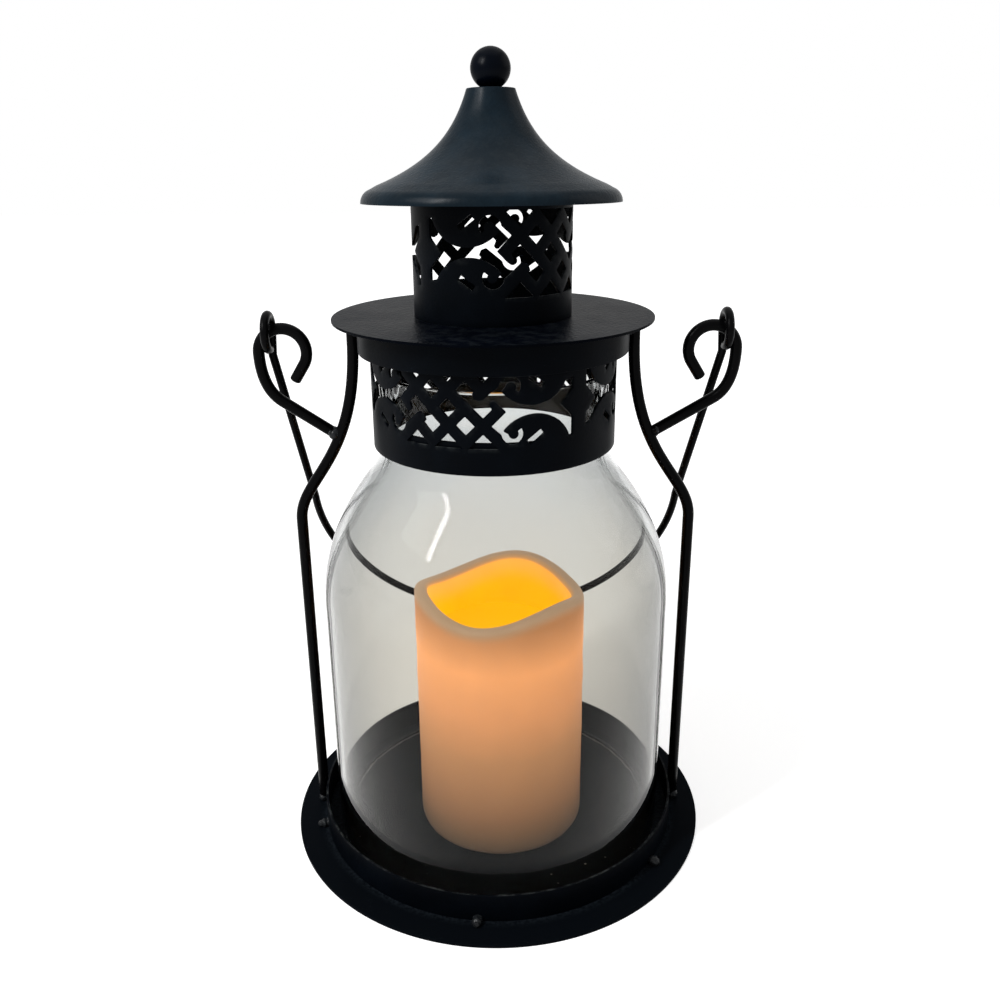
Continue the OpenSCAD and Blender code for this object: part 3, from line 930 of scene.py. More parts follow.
class GeoNodes(Nodes):
    """A Geometry Nodes tree with named inputs, run once and turned into a plain mesh."""

    def __init__(self, name: str, inputs: Mapping[str, str]) -> None:
        """Makes the tree, with a geometry and a material among its inputs.

        Args:
            name: The tree's name.
            inputs: Name and socket type of each other input.
        """
        tree = bpy.data.node_groups.new(name, "GeometryNodeTree")
        kinds = {"Geometry": "NodeSocketGeometry", "Material": "NodeSocketMaterial", **inputs}
        for label, kind in kinds.items():
            tree.interface.new_socket(label, in_out="INPUT", socket_type=kind)
        tree.interface.new_socket("Geometry", in_out="OUTPUT", socket_type="NodeSocketGeometry")
        super().__init__(tree)
        self.entry = self.make("NodeGroupInput")

    def given(self, label: str) -> Sock:
        """The input of that name."""
        return self.entry.of(label)

    def own(self, attribute: str) -> Sock:
        """A number that each point of the geometry carries."""
        return self.make("GeometryNodeInputNamedAttribute", {"data_type": "FLOAT"}, {"Name": attribute})

    def close(self, geometry: Sock) -> None:
        """Ends the tree in Realize Instances and Set Material.

        Args:
            geometry: What the tree has made.
        """
        real = self.make("GeometryNodeRealizeInstances", values={"Geometry": geometry})
        values = {"Geometry": real, "Material": self.given("Material")}
        dressed = self.make("GeometryNodeSetMaterial", values=values)
        self.make("NodeGroupOutput", values={"Geometry": dressed})

    def run(
        self,
        mesh: bpy.types.Mesh,
        values: Mapping[str, Any],
        after: Sequence[tuple[str, Mapping[str, Any]]] = (),
    ) -> bpy.types.Mesh:
        """Runs the tree on a mesh.

        Args:
            mesh: What goes in.
            values: The inputs, by name.
            after: Kinds and settings of the modifiers that follow.

        Returns:
            A plain mesh, with its faces pointing outwards.
        """
        holder = bpy.data.objects.new(self.tree.name, mesh)
        bpy.context.scene.collection.objects.link(holder)
        modifier = holder.modifiers.new(self.tree.name, "NODES")
        modifier.node_group = self.tree
        for item in self.tree.interface.items_tree:
            if item.in_out == "INPUT" and item.name in values:
                modifier[item.identifier] = values[item.name]
        for kind, settings in after:
            extra = holder.modifiers.new(kind.lower(), kind)
            for name, value in settings.items():
                setattr(extra, name, value)
        made = bpy.data.meshes.new_from_object(holder.evaluated_get(bpy.context.evaluated_depsgraph_get()))
        holder.modifiers.clear()
        bpy.data.objects.remove(holder)
        materials = list(made.materials)
        shell = bmesh.new()
        shell.from_mesh(made)
        result = closed_mesh(shell, self.tree.name)
        for material in materials:
            result.materials.append(material)
        return result

    @staticmethod
    def sized(
        points: Sequence[Vector], sizes: Sequence[float], name: str, edges: Sequence[tuple[int, int]] = ()
    ) -> bpy.types.Mesh:
        """Points that carry a size each.

        Args:
            points: Their places, in millimetres.
            sizes: Their sizes, in millimetres.
            name: The name that the sizes go by.
            edges: Which points are joined.

        Returns:
            The points' mesh.
        """
        mesh = bpy.data.meshes.new(name)
        mesh.from_pydata([p * MM for p in points], list(edges), [])
        layer = mesh.attributes.new(name, "FLOAT", "POINT")
        layer.data.foreach_set("value", [s * MM for s in sizes])
        return mesh


class RodSweep(GeoNodes):
    """Sweeps a round rod along a line, as thick at each point as the line says."""

    THICKNESS = "thickness"
    BLUNT = ((0.0, 0.70), (0.10, 0.88), (0.28, 0.98))

    def __init__(self) -> None:
        """Builds the tree."""
        super().__init__("rod_sweep", {"Sides": "NodeSocketInt"})
        line = self.make("GeometryNodeMeshToCurve", values={"Mesh": self.given("Geometry")})
        ring = {"Resolution": self.given("Sides"), "Radius": 1.0}
        circle = self.make("GeometryNodeCurvePrimitiveCircle", values=ring)
        thickness = self.own(self.THICKNESS)
        values = {"Curve": line, "Profile Curve": circle, "Scale": thickness, "Fill Caps": True}
        self.close(self.make("GeometryNodeCurveToMesh", values=values))

    def rod(
        self, path: Sequence[Vector], radius: float, material: bpy.types.Material, sides: int = 20
    ) -> bpy.types.Mesh:
        """A rod with blunt, slightly rounded ends.

        Args:
            path: Its middle line, in millimetres.
            radius: Its radius, in millimetres.
            material: Its material.
            sides: How many sides it has.

        Returns:
            The rod's mesh.
        """
        tips = []
        for end, step in ((0, 1), (-1, -1)):
            way = (path[end + step] - path[end]).normalized()
            tips.append([path[end] + way * radius * back for back, _ in self.BLUNT])
        middle = list(path[1:-1])
        line = [*tips[0], *middle, *reversed(tips[1])]
        taper = [radius * share for _, share in self.BLUNT]
        widths = [*taper, *([radius] * len(middle)), *reversed(taper)]
        edges = [(i, i + 1) for i in range(len(line) - 1)]
        mesh = self.sized(line, widths, self.THICKNESS, edges)
        return self.run(mesh, {"Material": material, "Sides": sides})


class FretWrap(GeoNodes):
    """Repeats a flat pierced panel and wraps it into a round band."""

    SEAM = 0.02 * MM

    def __init__(self) -> None:
        """Builds the tree."""
        sizes = {label: "NodeSocketFloat" for label in ("Length", "Radius", "Turn")}
        super().__init__("fret_wrap", {"Repeats": "NodeSocketInt", **sizes})
        offset = self.make("ShaderNodeCombineXYZ", values={"X": self.given("Length")})
        row = self.make("GeometryNodeMeshLine", values={"Count": self.given("Repeats"), "Offset": offset})
        panels = {"Points": row, "Instance": self.given("Geometry")}
        strip = self.make("GeometryNodeInstanceOnPoints", values=panels)
        flat = self.make("GeometryNodeRealizeInstances", values={"Geometry": strip})
        x, _, z = self.split(self.make("GeometryNodeInputPosition"))
        angle = x / self.given("Radius") + self.given("Turn")
        across = self.math("SINE", angle) * self.given("Radius")
        along = 0.0 - self.math("COSINE", angle) * self.given("Radius")
        spot = self.make("ShaderNodeCombineXYZ", values={"X": across, "Y": along, "Z": z})
        wrapped = self.make("GeometryNodeSetPosition", values={"Geometry": flat, "Position": spot})
        values = {"Geometry": wrapped, "Distance": self.SEAM}
        self.close(self.make("GeometryNodeMergeByDistance", values=values))


class WeldBeads(GeoNodes):
    """Sets a lumpy bead of weld on each point, as large as the point says."""

    SIZE = "bead_size"
    ROUNDNESS = 4
    UNEVEN = {"Min": 0.85, "Max": 1.15}
    LUMP_DEPTH = 1.1 * MM
    LUMPS_PER_METRE = 620.0

    def __init__(self) -> None:
        """Builds the tree."""
        super().__init__("weld_beads", {"Lumps": "NodeSocketFloat", "Seed": "NodeSocketInt"})
        round_bead = {"Radius": 1.0, "Subdivisions": self.ROUNDNESS}
        ball = self.make("GeometryNodeMeshIcoSphere", values=round_bead)
        limits = {**self.UNEVEN, "Seed": self.given("Seed")}
        change = self.make("FunctionNodeRandomValue", {"data_type": "FLOAT"}, limits)
        scale = self.own(self.SIZE) * change
        seats = {"Points": self.given("Geometry"), "Instance": ball, "Scale": scale}
        beads = self.make("GeometryNodeInstanceOnPoints", values=seats)
        real = self.make("GeometryNodeRealizeInstances", values={"Geometry": beads})
        lump = self.make("ShaderNodeTexNoise", values={"Scale": self.LUMPS_PER_METRE, "Detail": 2.0})
        push = {0: self.make("GeometryNodeInputNormal"), "Scale": (lump - 0.5) * self.given("Lumps")}
        offset = self.make("ShaderNodeVectorMath", {"operation": "SCALE"}, push)
        self.close(self.make("GeometryNodeSetPosition", values={"Geometry": real, "Offset": offset}))

    def beads(
        self, spots: Sequence[tuple[Vector, float]], material: bpy.types.Material, seed: int
    ) -> bpy.types.Mesh:
        """Beads on spots.

        Args:
            spots: Place and size of each bead, in millimetres.
            material: Their material.
            seed: Which set of lumps they get.

        Returns:
            The beads' mesh.
        """
        places, sizes = zip(*spots)
        mesh = self.sized(places, sizes, self.SIZE)
        return self.run(mesh, {"Material": material, "Lumps": self.LUMP_DEPTH, "Seed": seed})


@dataclass
class Toolbox:
    """What every sub-assembly is made with: the trees and the enamels."""

    sweep: RodSweep
    wrap: FretWrap
    welds: WeldBeads
    enamel: dict[PaintCoat, bpy.types.Material]


# Sub-assemblies


@dataclass
class Base:
    """Base plate, the gallery ring on it and the tack welds between them."""

    plate_edge: float = 0.6
    ring_wall: float = 1.0
    ring_edge: float = 0.35
    ring_dents: Dents = Dents(0.25, 60.0, 1.0)
    tack_angles: tuple[float, ...] = (-76, -6, 55, 115, 175, 235)
    tack_sizes: tuple[float, ...] = (1.8, 2.0, 1.5)
    tack_rise: float = 1.2
    tack_spread: float = 1.6
    tack_seed: int = 3

    def build(self, tools: Toolbox) -> None:
        """Builds and dresses the pieces.

        Args:
            tools: The trees and enamels.
        """
        low, high = box_mm("base_plate")
        disc = ring_section(0, high.x, low.z, high.z)
        plate = turned("base_plate", eased(disc, self.plate_edge, False), closed=False)
        foot, top = box_mm("gallery_ring")
        tray = TrayDustAndPaintedLight().build("tray_dust_and_light", box_mm("glass_jar")[1].x, top.x)
        add_piece("base_plate_disc", plate, tray, "cage", "black_steel", "base_plate")
        strip = ring_section(top.x - self.ring_wall, top.x, foot.z, top.z)
        ring = self.ring_dents.press(turned("gallery_ring", eased(strip, self.ring_edge)))
        paint = tools.enamel[PaintCoat.FOOT]
        add_piece("gallery_ring_strip", ring, paint, "cage", "black_steel", "gallery_ring")
        spots = []
        for angle in self.tack_angles:
            for k, size in enumerate(self.tack_sizes):
                spot = polar(angle - 90, top.x + k * self.tack_spread)
                spots.append((Vector((*spot, high.z + self.tack_rise)), size))
        beads = tools.welds.beads(spots, tools.enamel[PaintCoat.WELD], self.tack_seed)
        add_piece("tack_weld_beads", beads, None, "cage", "black_steel", "ring_tack_welds")


class Side(Enum):
    """The two sides of the cage, with the way that they lie along X."""

    RIGHT = 1
    LEFT = -1

    @property
    def label(self) -> str:
        """The side's name in the frame."""
        return self.name.lower()


@dataclass(frozen=True)
class Bead:
    """A bead of weld beside its seat: out, back and up in millimetres, and its share of the full size."""

    out: float
    back: float
    up: float
    share: float


@dataclass
class Cage:
    """Side rods, scroll hooks and the welds that hold them."""

    bend_z: float = 147.0
    bend_rise: float = 4.0
    bend_pulls: Span = (0.24, 0.335)
    bend_steps: int = 40
    fork_share: float = 0.645
    fork_lap: float = 0.4
    scroll_r: float = 9.8
    scroll_turn: float = 212.0
    scroll_tail: float = 8.0
    scroll_steps: int = 64
    knee_out: float = 0.16
    knee_drop: float = 2.1
    knee_steps: int = 14
    bead_size: float = 2.5
    bead_seed: int = 8
    fork_beads: tuple[Bead, ...] = (
        Bead(0.0, 0.0, 0.0, 1.0),
        Bead(1.2, -0.9, 0.9, 0.72),
        Bead(0.2, 0.9, -1.2, 0.7),
    )
    foot_beads: tuple[Bead, ...] = (Bead(0.4, -0.8, 1.6, 1.0), Bead(-0.2, 1.0, 1.6, 0.9))
    head_beads: tuple[Bead, ...] = (Bead(-1.0, 0.0, 0.0, 0.9),)

    def measure(self) -> None:
        """Reads the rod's run from the frame."""
        low, high = box_mm("right_side_rod")
        rim_low, rim_top = box_mm("rim_hoop")
        self.rod_r = (high.y - low.y) / 2
        self.foot = Vector((high.x - self.rod_r, low.z))
        self.head = Vector((low.x + self.rod_r, high.z))
        self.rim_seat = Vector((self.head.x, (rim_low.z + rim_top.z) / 2))
        top = Vector((self.head.x, rim_low.z + self.bend_rise))
        start = Vector((self.foot.x, self.bend_z))
        rise = top.y - start.y
        pulls = [Vector((p.x, start.y + s * rise)) for p, s in zip((start, top), self.bend_pulls)]
        self.bend = (start, *pulls, top)

    def scroll(self, side: Side) -> Vector:
        """Finds the middle of a scroll.

        Args:
            side: The scroll's side.

        Returns:
            Its place, out from the middle of the lantern and up.
        """
        low, high = box_mm(f"{side.label}_scroll_hook")
        reach = self.scroll_r + self.rod_r
        return Vector((max(high.x, -low.x) - reach, high.z - reach))

    def rod_line(self) -> list[Vector]:
        """Middle line of a side rod, out from the middle and up."""
        bend = [bezier(self.bend, i / self.bend_steps) for i in range(self.bend_steps + 1)]
        return [self.foot, *bend, self.head]

    def fork(self, scroll: Vector) -> tuple[Vector, Vector]:
        """Where the hook of a scroll leaves its rod, and the knee that it heads for."""
        knee = scroll + Vector((self.knee_out * self.scroll_r, -self.knee_drop * self.scroll_r))
        return bezier(self.bend, self.fork_share), knee

    def scroll_line(self, scroll: Vector) -> list[Vector]:
        """Draws a scroll hook.

        Args:
            scroll: The middle of its scroll.

        Returns:
            Its middle line, out from the middle of the lantern and up.
        """
        start, knee = self.fork(scroll)
        way = (knee - start).normalized()
        side = scroll + Vector((self.scroll_r, 0))
        corner = Vector((side.x, knee.y + way.y / way.x * (side.x - knee.x)))
        shares = [i / self.knee_steps for i in range(self.knee_steps)]
        bow = [knee.lerp(corner, t).lerp(corner.lerp(side, t), t) for t in shares]
        curl = arc(scroll, self.scroll_r, 0, self.scroll_turn, self.scroll_steps)
        tail = curl[-1] + polar(self.scroll_turn + 90, self.scroll_tail)
        return [start + way * self.rod_r * self.fork_lap, *bow, *curl, tail]

    def build(self, tools: Toolbox) -> None:
        """Builds and dresses the pieces.

        Args:
            tools: The trees and enamels.
        """
        self.measure()
        paint = tools.enamel[PaintCoat.ROD]
        spots: list[tuple[Vector, float]] = []
        for side in Side:
            sign = side.value
            scroll = self.scroll(side)
            start, knee = self.fork(scroll)
            joint = start + (knee - start).normalized() * self.rod_r
            for name, line in (("side_rod", self.rod_line()), ("scroll_hook", self.scroll_line(scroll))):
                path = [Vector((sign * p.x, 0, p.y)) for p in line]
                mesh = tools.sweep.rod(path, self.rod_r, paint)
                add_piece(f"{name}_{side.label}", mesh, None, "cage", "black_steel", f"{side.label}_{name}")
            seats = ((joint, self.fork_beads), (self.foot, self.foot_beads), (self.rim_seat, self.head_beads))
            for seat, beads in seats:
                for bead in beads:
                    spot = Vector((sign * (seat.x + bead.out), bead.back, seat.y + bead.up))
                    spots.append((spot, bead.share * self.bead_size))
        welds = tools.welds.beads(spots, tools.enamel[PaintCoat.WELD], self.bead_seed)
        add_piece("rod_weld_beads", welds, None, "cage", "black_steel", "rod_welds")


@dataclass
class GlassJar:
    """Blown jar, open at both ends: a straight wall, a shoulder and a neck."""

    wall: float = 3.0
    wall_steps: int = 12
    neck_r: float = 47.5
    shoulder_z: float = 112.0
    shoulder_end_z: float = 176.3
    shoulder_steps: int = 48
    bulge: float = 2.1
    lip: float = 1.3
    bend_share: float = 0.9
    bend_steps: int = 16
    turn_steps: int = 192

    def outline(self, inset: float) -> list[Vector]:
        """Draws the wall in section.

        Args:
            inset: How far it is moved in, in millimetres.

        Returns:
            The wall from foot to lip.
        """
        low, high = box_mm("glass_jar")
        rise = self.shoulder_end_z - self.shoulder_z
        swell = high.x - self.neck_r
        shares = [self.bend_share * i / self.shoulder_steps for i in range(self.shoulder_steps + 1)]
        shoulder = [Vector((high.x - swell * t**self.bulge, self.shoulder_z + t * rise)) for t in shares]
        climb = (self.shoulder_z - low.z) / self.wall_steps
        straight = [Vector((high.x, low.z + climb * i)) for i in range(self.wall_steps)]
        foot = shoulder[-1]
        slope = swell * self.bulge * self.bend_share ** (self.bulge - 1) / rise
        corner = Vector((self.neck_r, foot.y + (foot.x - self.neck_r) / slope))
        head = Vector((self.neck_r, 2 * corner.y - foot.y))
        handles = (foot, foot.lerp(corner, 2 / 3), head.lerp(corner, 2 / 3), head)
        bend = [bezier(handles, (i + 1) / self.bend_steps) for i in range(self.bend_steps)]
        line = [*straight, *shoulder, *bend, Vector((self.neck_r, high.z))]
        return [Vector((r - inset, z)) for r, z in line]

    def build(self) -> None:
        """Builds and dresses the jar."""
        wall = self.outline(0.0) + self.outline(self.wall)[::-1]
        mesh = turned("glass_jar", eased(wall, self.lip), self.turn_steps)
        glass = ClearGlass().build("clear_glass", self.shoulder_z, self.shoulder_end_z)
        add_piece("blown_glass_jar", mesh, glass, "cage", "clear_glass", "glass_jar")


@dataclass
class Fretwork:
    """Openings of one repeat of a pierced band, in millimetres along and up from its middle."""

    height: float = 33.0
    sheet: float = 1.0
    bar_width: float = 4.3
    pitch: float = 13.4
    leaf_gap: float = 1.0
    leaf_in: float = 5.7
    upper_leaf: Span = (-0.4, 0.0)
    upper_sweep: Span = (220, 332)
    lower_leaf: Span = (0.6, -1.5)
    lower_sweep: Span = (20, 142)
    slot_width: float = 2.3
    upper_slot: tuple[Span, Span] = ((-2.0, -4.6), (3.6, -8.4))
    lower_slot: tuple[Span, Span] = ((-2.0, 3.2), (3.4, 7.2))
    lozenge_width: float = 8.9
    lozenge_neck: float = 6.8
    lozenge_half: float = 4.6
    lozenge_ends: Span = (0.3, -0.38)
    curl_inset: float = 3.65
    curl_out: float = 4.5
    curl_in: float = 1.9
    curl_draw: float = 0.9
    curl_seats: Span = (225, 135)
    upper_turn: Span = (175, -35)
    lower_turn: Span = (-175, 35)
    curl_steps: int = 18
    leaf_steps: int = 24
    bay_mouth: float = 1.8
    bay_depth: float = 3.2
    notch_lap: float = 0.7
    notch_cut: float = 1.2
    lap_inset: float = 2.7
    corner: float = 0.7
    cell: float = 2.2
    cell_clear: float = 0.4
    edge_step: float = 1.2
    edge_bevel: float = 0.16
    merge: float = 1e-5

    def __post_init__(self) -> None:
        """Works out the places of the bars, leaves and lozenge."""
        self.bar_half = self.bar_width / math.sqrt(2)
        self.near = self.pitch / 2
        self.far = 1.5 * self.pitch
        self.leaf_r = self.height / 2 - self.leaf_gap
        self.leaf_x = self.near + self.far + self.leaf_in
        self.half_length = self.leaf_x + self.leaf_r + self.lozenge_half

    @staticmethod
    def slant(p: float, q: float) -> Vector:
        """A point by its places along the two slants of the crossing bars."""
        return Vector(((p + q) / 2, (p - q) / 2))

    def diamond(self, p: float, q: float) -> list[Vector]:
        """Opening between four bars."""
        reach = self.pitch / 2 - self.bar_half
        return [self.slant(p, q) + polar(angle, reach) for angle in (180, 90, 0, 270)]

    def edge_triangle(self, x: float, side: int) -> list[Vector]:
        """Cuts the opening between two bars and the edge of the fretwork.

        Args:
            x: Where along the fretwork it lies.
            side: 1 at the upper edge, -1 at the lower.

        Returns:
            Its corners.
        """
        tip, base = self.near + self.bar_half, self.leaf_r
        half = side * (base - tip)
        return [Vector((x, side * tip)), Vector((x - half, side * base)), Vector((x + half, side * base))]

    def slot(self, seat: Vector, ends: tuple[Span, Span]) -> list[Vector]:
        """Cuts a short slot.

        Args:
            seat: The place that its ends are measured from.
            ends: Where it starts and ends.

        Returns:
            Its corners.
        """
        start, end = (seat + Vector(p) for p in ends)
        way = (end - start).normalized() * self.slot_width / 2
        across = Vector((-way.y, way.x))
        return [start - across, end - across, end + across, start + across]

    def curl(self, centre: Vector, start: float, end: float) -> list[Vector]:
        """Cuts the slit round the tip of a leaf.

        Args:
            centre: The tip's middle.
            start: The angle of its mouth, in degrees.
            end: The angle of its end.

        Returns:
            Its outline, from its mouth round to its end and back.
        """
        turns = [i / self.curl_steps for i in range(self.curl_steps + 1)]
        outer = [centre + polar(start + (end - start) * t, self.curl_out - self.curl_draw * t) for t in turns]
        inner = [centre + polar(start + (end - start) * t, self.curl_in) for t in reversed(turns)]
        return outer + inner

    def leaf_opening(self) -> list[Vector]:
        """Cuts the long opening between two leaves.

        Returns:
            Its outline, from the crossing bars to the lozenge and back.
        """
        near_in, near_out = self.near - self.bar_half, self.near + self.bar_half
        far_in, far_out = self.far - self.bar_half, self.far + self.bar_half
        lap, cut = self.far + self.notch_lap, self.notch_cut
        upper = Vector((self.leaf_x, self.height / 2)) + Vector(self.upper_leaf)
        lower = Vector((self.leaf_x, -self.height / 2)) + Vector(self.lower_leaf)
        step = self.leaf_r - self.curl_inset
        upper_tip, lower_tip = (leaf + polar(a, step) for leaf, a in zip((upper, lower), self.curl_seats))
        neck_x = self.half_length - self.lozenge_neck / 2
        neck_y = self.lozenge_width - self.lozenge_neck / 2
        above, below = (self.height * share for share in self.lozenge_ends)
        lozenge = [
            Vector((neck_x, above)),
            Vector((neck_x, neck_y)),
            Vector((self.half_length - self.lozenge_width, 0)),
            Vector((neck_x, -neck_y)),
            Vector((neck_x, below)),
        ]
        bay = [
            (near_out, -near_in),
            (far_in, -near_in),
            (far_in, near_in),
            (far_in - self.bay_mouth, near_in),
            (far_in - self.bay_depth, self.near),
            (far_in - self.bay_mouth, near_out),
        ]
        notch = [
            (near_out, far_out),
            (lap, far_out),
            (lap, self.pitch + cut),
            (self.far - cut / 2, self.pitch),
            (self.far - 2 * cut, self.pitch + cut / 3),
            (far_in - self.notch_lap, far_in),
            (near_out, far_in),
        ]
        return [
            *(self.slant(p, q) for p, q in bay),
            *self.curl(upper_tip, *self.upper_turn),
            *arc(upper, self.leaf_r, *self.upper_sweep, self.leaf_steps),
            *lozenge,
            *arc(lower, self.leaf_r, *self.lower_sweep, self.leaf_steps),
            *reversed(self.curl(lower_tip, *self.lower_turn)),
            *(self.slant(p, q) for p, q in notch),
        ]

    def half(self, end: float) -> list[list[Vector]]:
        """Cuts the openings to the right of the middle of one repeat.

        Args:
            end: Where the strip ends.

        Returns:
            The openings.
        """
        return [
            self.diamond(0, self.pitch),
            self.edge_triangle(self.pitch, -1),
            self.edge_triangle(0, -1),
            self.edge_triangle(self.pitch, 1),
            [v for v in self.leaf_opening() if v.x < end],
            self.slot(Vector((self.leaf_x, self.height / 2)), self.upper_slot),
            self.slot(Vector((self.leaf_x, -self.height / 2)), self.lower_slot),
        ]

    def strip(self, repeats: int, end: float) -> list[list[Vector]]:
        """Openings of a strip.

        Args:
            repeats: How many repeats follow each other.
            end: Where the strip's outer repeats end, from their middles.

        Returns:
            The openings from the middle of the strip, with their corners eased.
        """
        whole = []
        for k in range(repeats):
            shift = Vector(((2 * k + 1 - repeats) * self.half_length, 0))
            left = end if k == 0 else self.half_length
            right = end if k == repeats - 1 else self.half_length
            openings = [self.diamond(0, 0), *self.half(right), *([-v for v in o] for o in self.half(left))]
            whole += [eased([v + shift for v in o], self.corner) for o in openings]
        return whole

    @staticmethod
    def holds(outline: Sequence[Vector], spot: Vector) -> bool:
        """Tests whether a spot lies inside an outline.

        Args:
            outline: The closed outline.
            spot: The spot.

        Returns:
            Whether it does.
        """
        inside = False
        for i, b in enumerate(outline):
            a = outline[i - 1]
            if (a.y > spot.y) != (b.y > spot.y) and spot.x < a.x + (spot.y - a.y) / (b.y - a.y) * (b.x - a.x):
                inside = not inside
        return inside

    def panel(self, length: float, low: float, high: float, outlines: list[list[Vector]]) -> bpy.types.Mesh:
        """Flat pierced panel.

        Args:
            length: Length of the panel, in millimetres.
            low: Height of its lower edge.
            high: Height of its upper edge.
            outlines: The openings in it.

        Returns:
            The panel's mesh, standing along X.
        """
        holes = [divided(outline, self.edge_step) for outline in outlines]
        columns = math.ceil(length / self.cell)
        rows = math.ceil((high - low) / self.cell)
        grid = [
            Vector((length * (i / columns - 0.5), low + (high - low) * j / rows))
            for i in range(columns + 1)
            for j in range(rows + 1)
        ]
        loops = [p for hole in holes for p in hole]
        near = kdtree.KDTree(len(loops))
        for i, p in enumerate(loops):
            near.insert(p.to_3d(), i)
        near.balance()
        free = [p for p in grid if near.find(p.to_3d())[2] > self.cell_clear * self.cell]
        edges, start = [], len(free)
        for hole in holes:
            edges += [(start + i, start + (i + 1) % len(hole)) for i in range(len(hole))]
            start += len(hole)
        verts, _, faces, *_ = delaunay_2d_cdt(free + loops, edges, [], 0, self.merge)
        boxes = [[(min(v[k] for v in h), max(v[k] for v in h)) for k in (0, 1)] for h in holes]
        kept = []
        for face in faces:
            spot = sum((verts[i] for i in face), Vector((0, 0))) / len(face)
            within = (
                h
                for h, (bx, by) in zip(holes, boxes)
                if bx[0] < spot.x < bx[1] and by[0] < spot.y < by[1]
            )
            if not any(self.holds(h, spot) for h in within):
                kept.append(face)
        mesh = bpy.data.meshes.new("fret_panel")
        mesh.from_pydata([(v.x * MM, 0, v.y * MM) for v in verts], [], kept)
        shell = bmesh.new()
        shell.from_mesh(mesh)
        bmesh.ops.delete(shell, geom=[v for v in shell.verts if not v.link_faces], context="VERTS")
        shell.to_mesh(mesh)
        shell.free()
        return mesh

    def band(
        self, node: str, fret_low: float, repeats: int, turn: float, tools: Toolbox, lap: float = 0.0
    ) -> bpy.types.Mesh:
        """Pierced band in place of a frame node.

        Args:
            node: The node's name.
            fret_low: Height of the lower edge of the openings above the band's.
            repeats: How many repeats go round.
            turn: Where the first repeat's middle lies, in degrees from the front.
            tools: The trees and enamels.
            lap: How far the strip's ends lie over each other, or 0 where its repeats close the ring.

        Returns:
            The band's mesh.
        """
        low, high = box_mm(node)
        round_way = FULL_TURN * high.x
        stretch = (round_way + lap) / repeats / (2 * self.half_length)
        joined, end = 1, self.half_length
        if lap:
            joined, end = repeats, self.half_length - self.lozenge_width - self.lap_inset
        copies = repeats // joined
        middle = low.z + fret_low + self.height / 2
        outlines = [[Vector((v.x * stretch, v.y + middle)) for v in o] for o in self.strip(joined, end)]
        length = round_way / copies
        panel = self.panel(length, low.z, high.z, outlines)
        centre = math.radians(turn) + (joined - 1) * self.half_length * stretch / high.x
        values = {
            "Material": tools.enamel[PaintCoat.BAND],
            "Repeats": copies,
            "Length": length * MM,
            "Radius": high.x * MM,
            "Turn": centre,
        }
        bevel = {"width": self.edge_bevel * MM, "segments": 2, "limit_method": "ANGLE", "angle_limit": 0.9}
        after = (("SOLIDIFY", {"thickness": self.sheet * MM, "offset": -1.0}), ("BEVEL", bevel))
        return tools.wrap.run(panel, values, after)


@dataclass
class Collar:
    """Pierced collar round the glass neck, the hoop inside it and the rim hoop on top."""

    sheet: float = 1.0
    lower_band: float = 9.5
    repeats: int = 3
    turn: float = -19.7
    rim_edge: float = 0.4
    rim_dents: Dents = Dents(0.15, 70.0, 4.0)

    def build(self, tools: Toolbox) -> None:
        """Builds and dresses the pieces.

        Args:
            tools: The trees and enamels.
        """
        band = Fretwork().band("fret_collar", self.lower_band, self.repeats, self.turn, tools)
        add_piece("pierced_collar", band, None, "cage", "black_steel", "fret_collar")
        low, high = box_mm("rim_hoop")
        collar = box_mm("fret_collar")[1]
        inner, skirt = collar.x - self.sheet, high.x - self.sheet
        hoop = [
            (inner, collar.z),
            (skirt, collar.z),
            (skirt, low.z),
            (high.x, low.z),
            (high.x, high.z),
            (inner, high.z),
        ]
        ring = self.rim_dents.press(turned("rim_hoop", eased(hoop, self.rim_edge)))
        paint = tools.enamel[PaintCoat.BAND]
        add_piece("rim_hoop_ring", ring, paint, "cage", "black_steel", "rim_hoop")
        middle_r = box_mm("neck_hoop")[1].x - self.sheet / 2
        dress(BareAndGlowInside().build("hoop_enamel", middle_r), "neck_hoop")


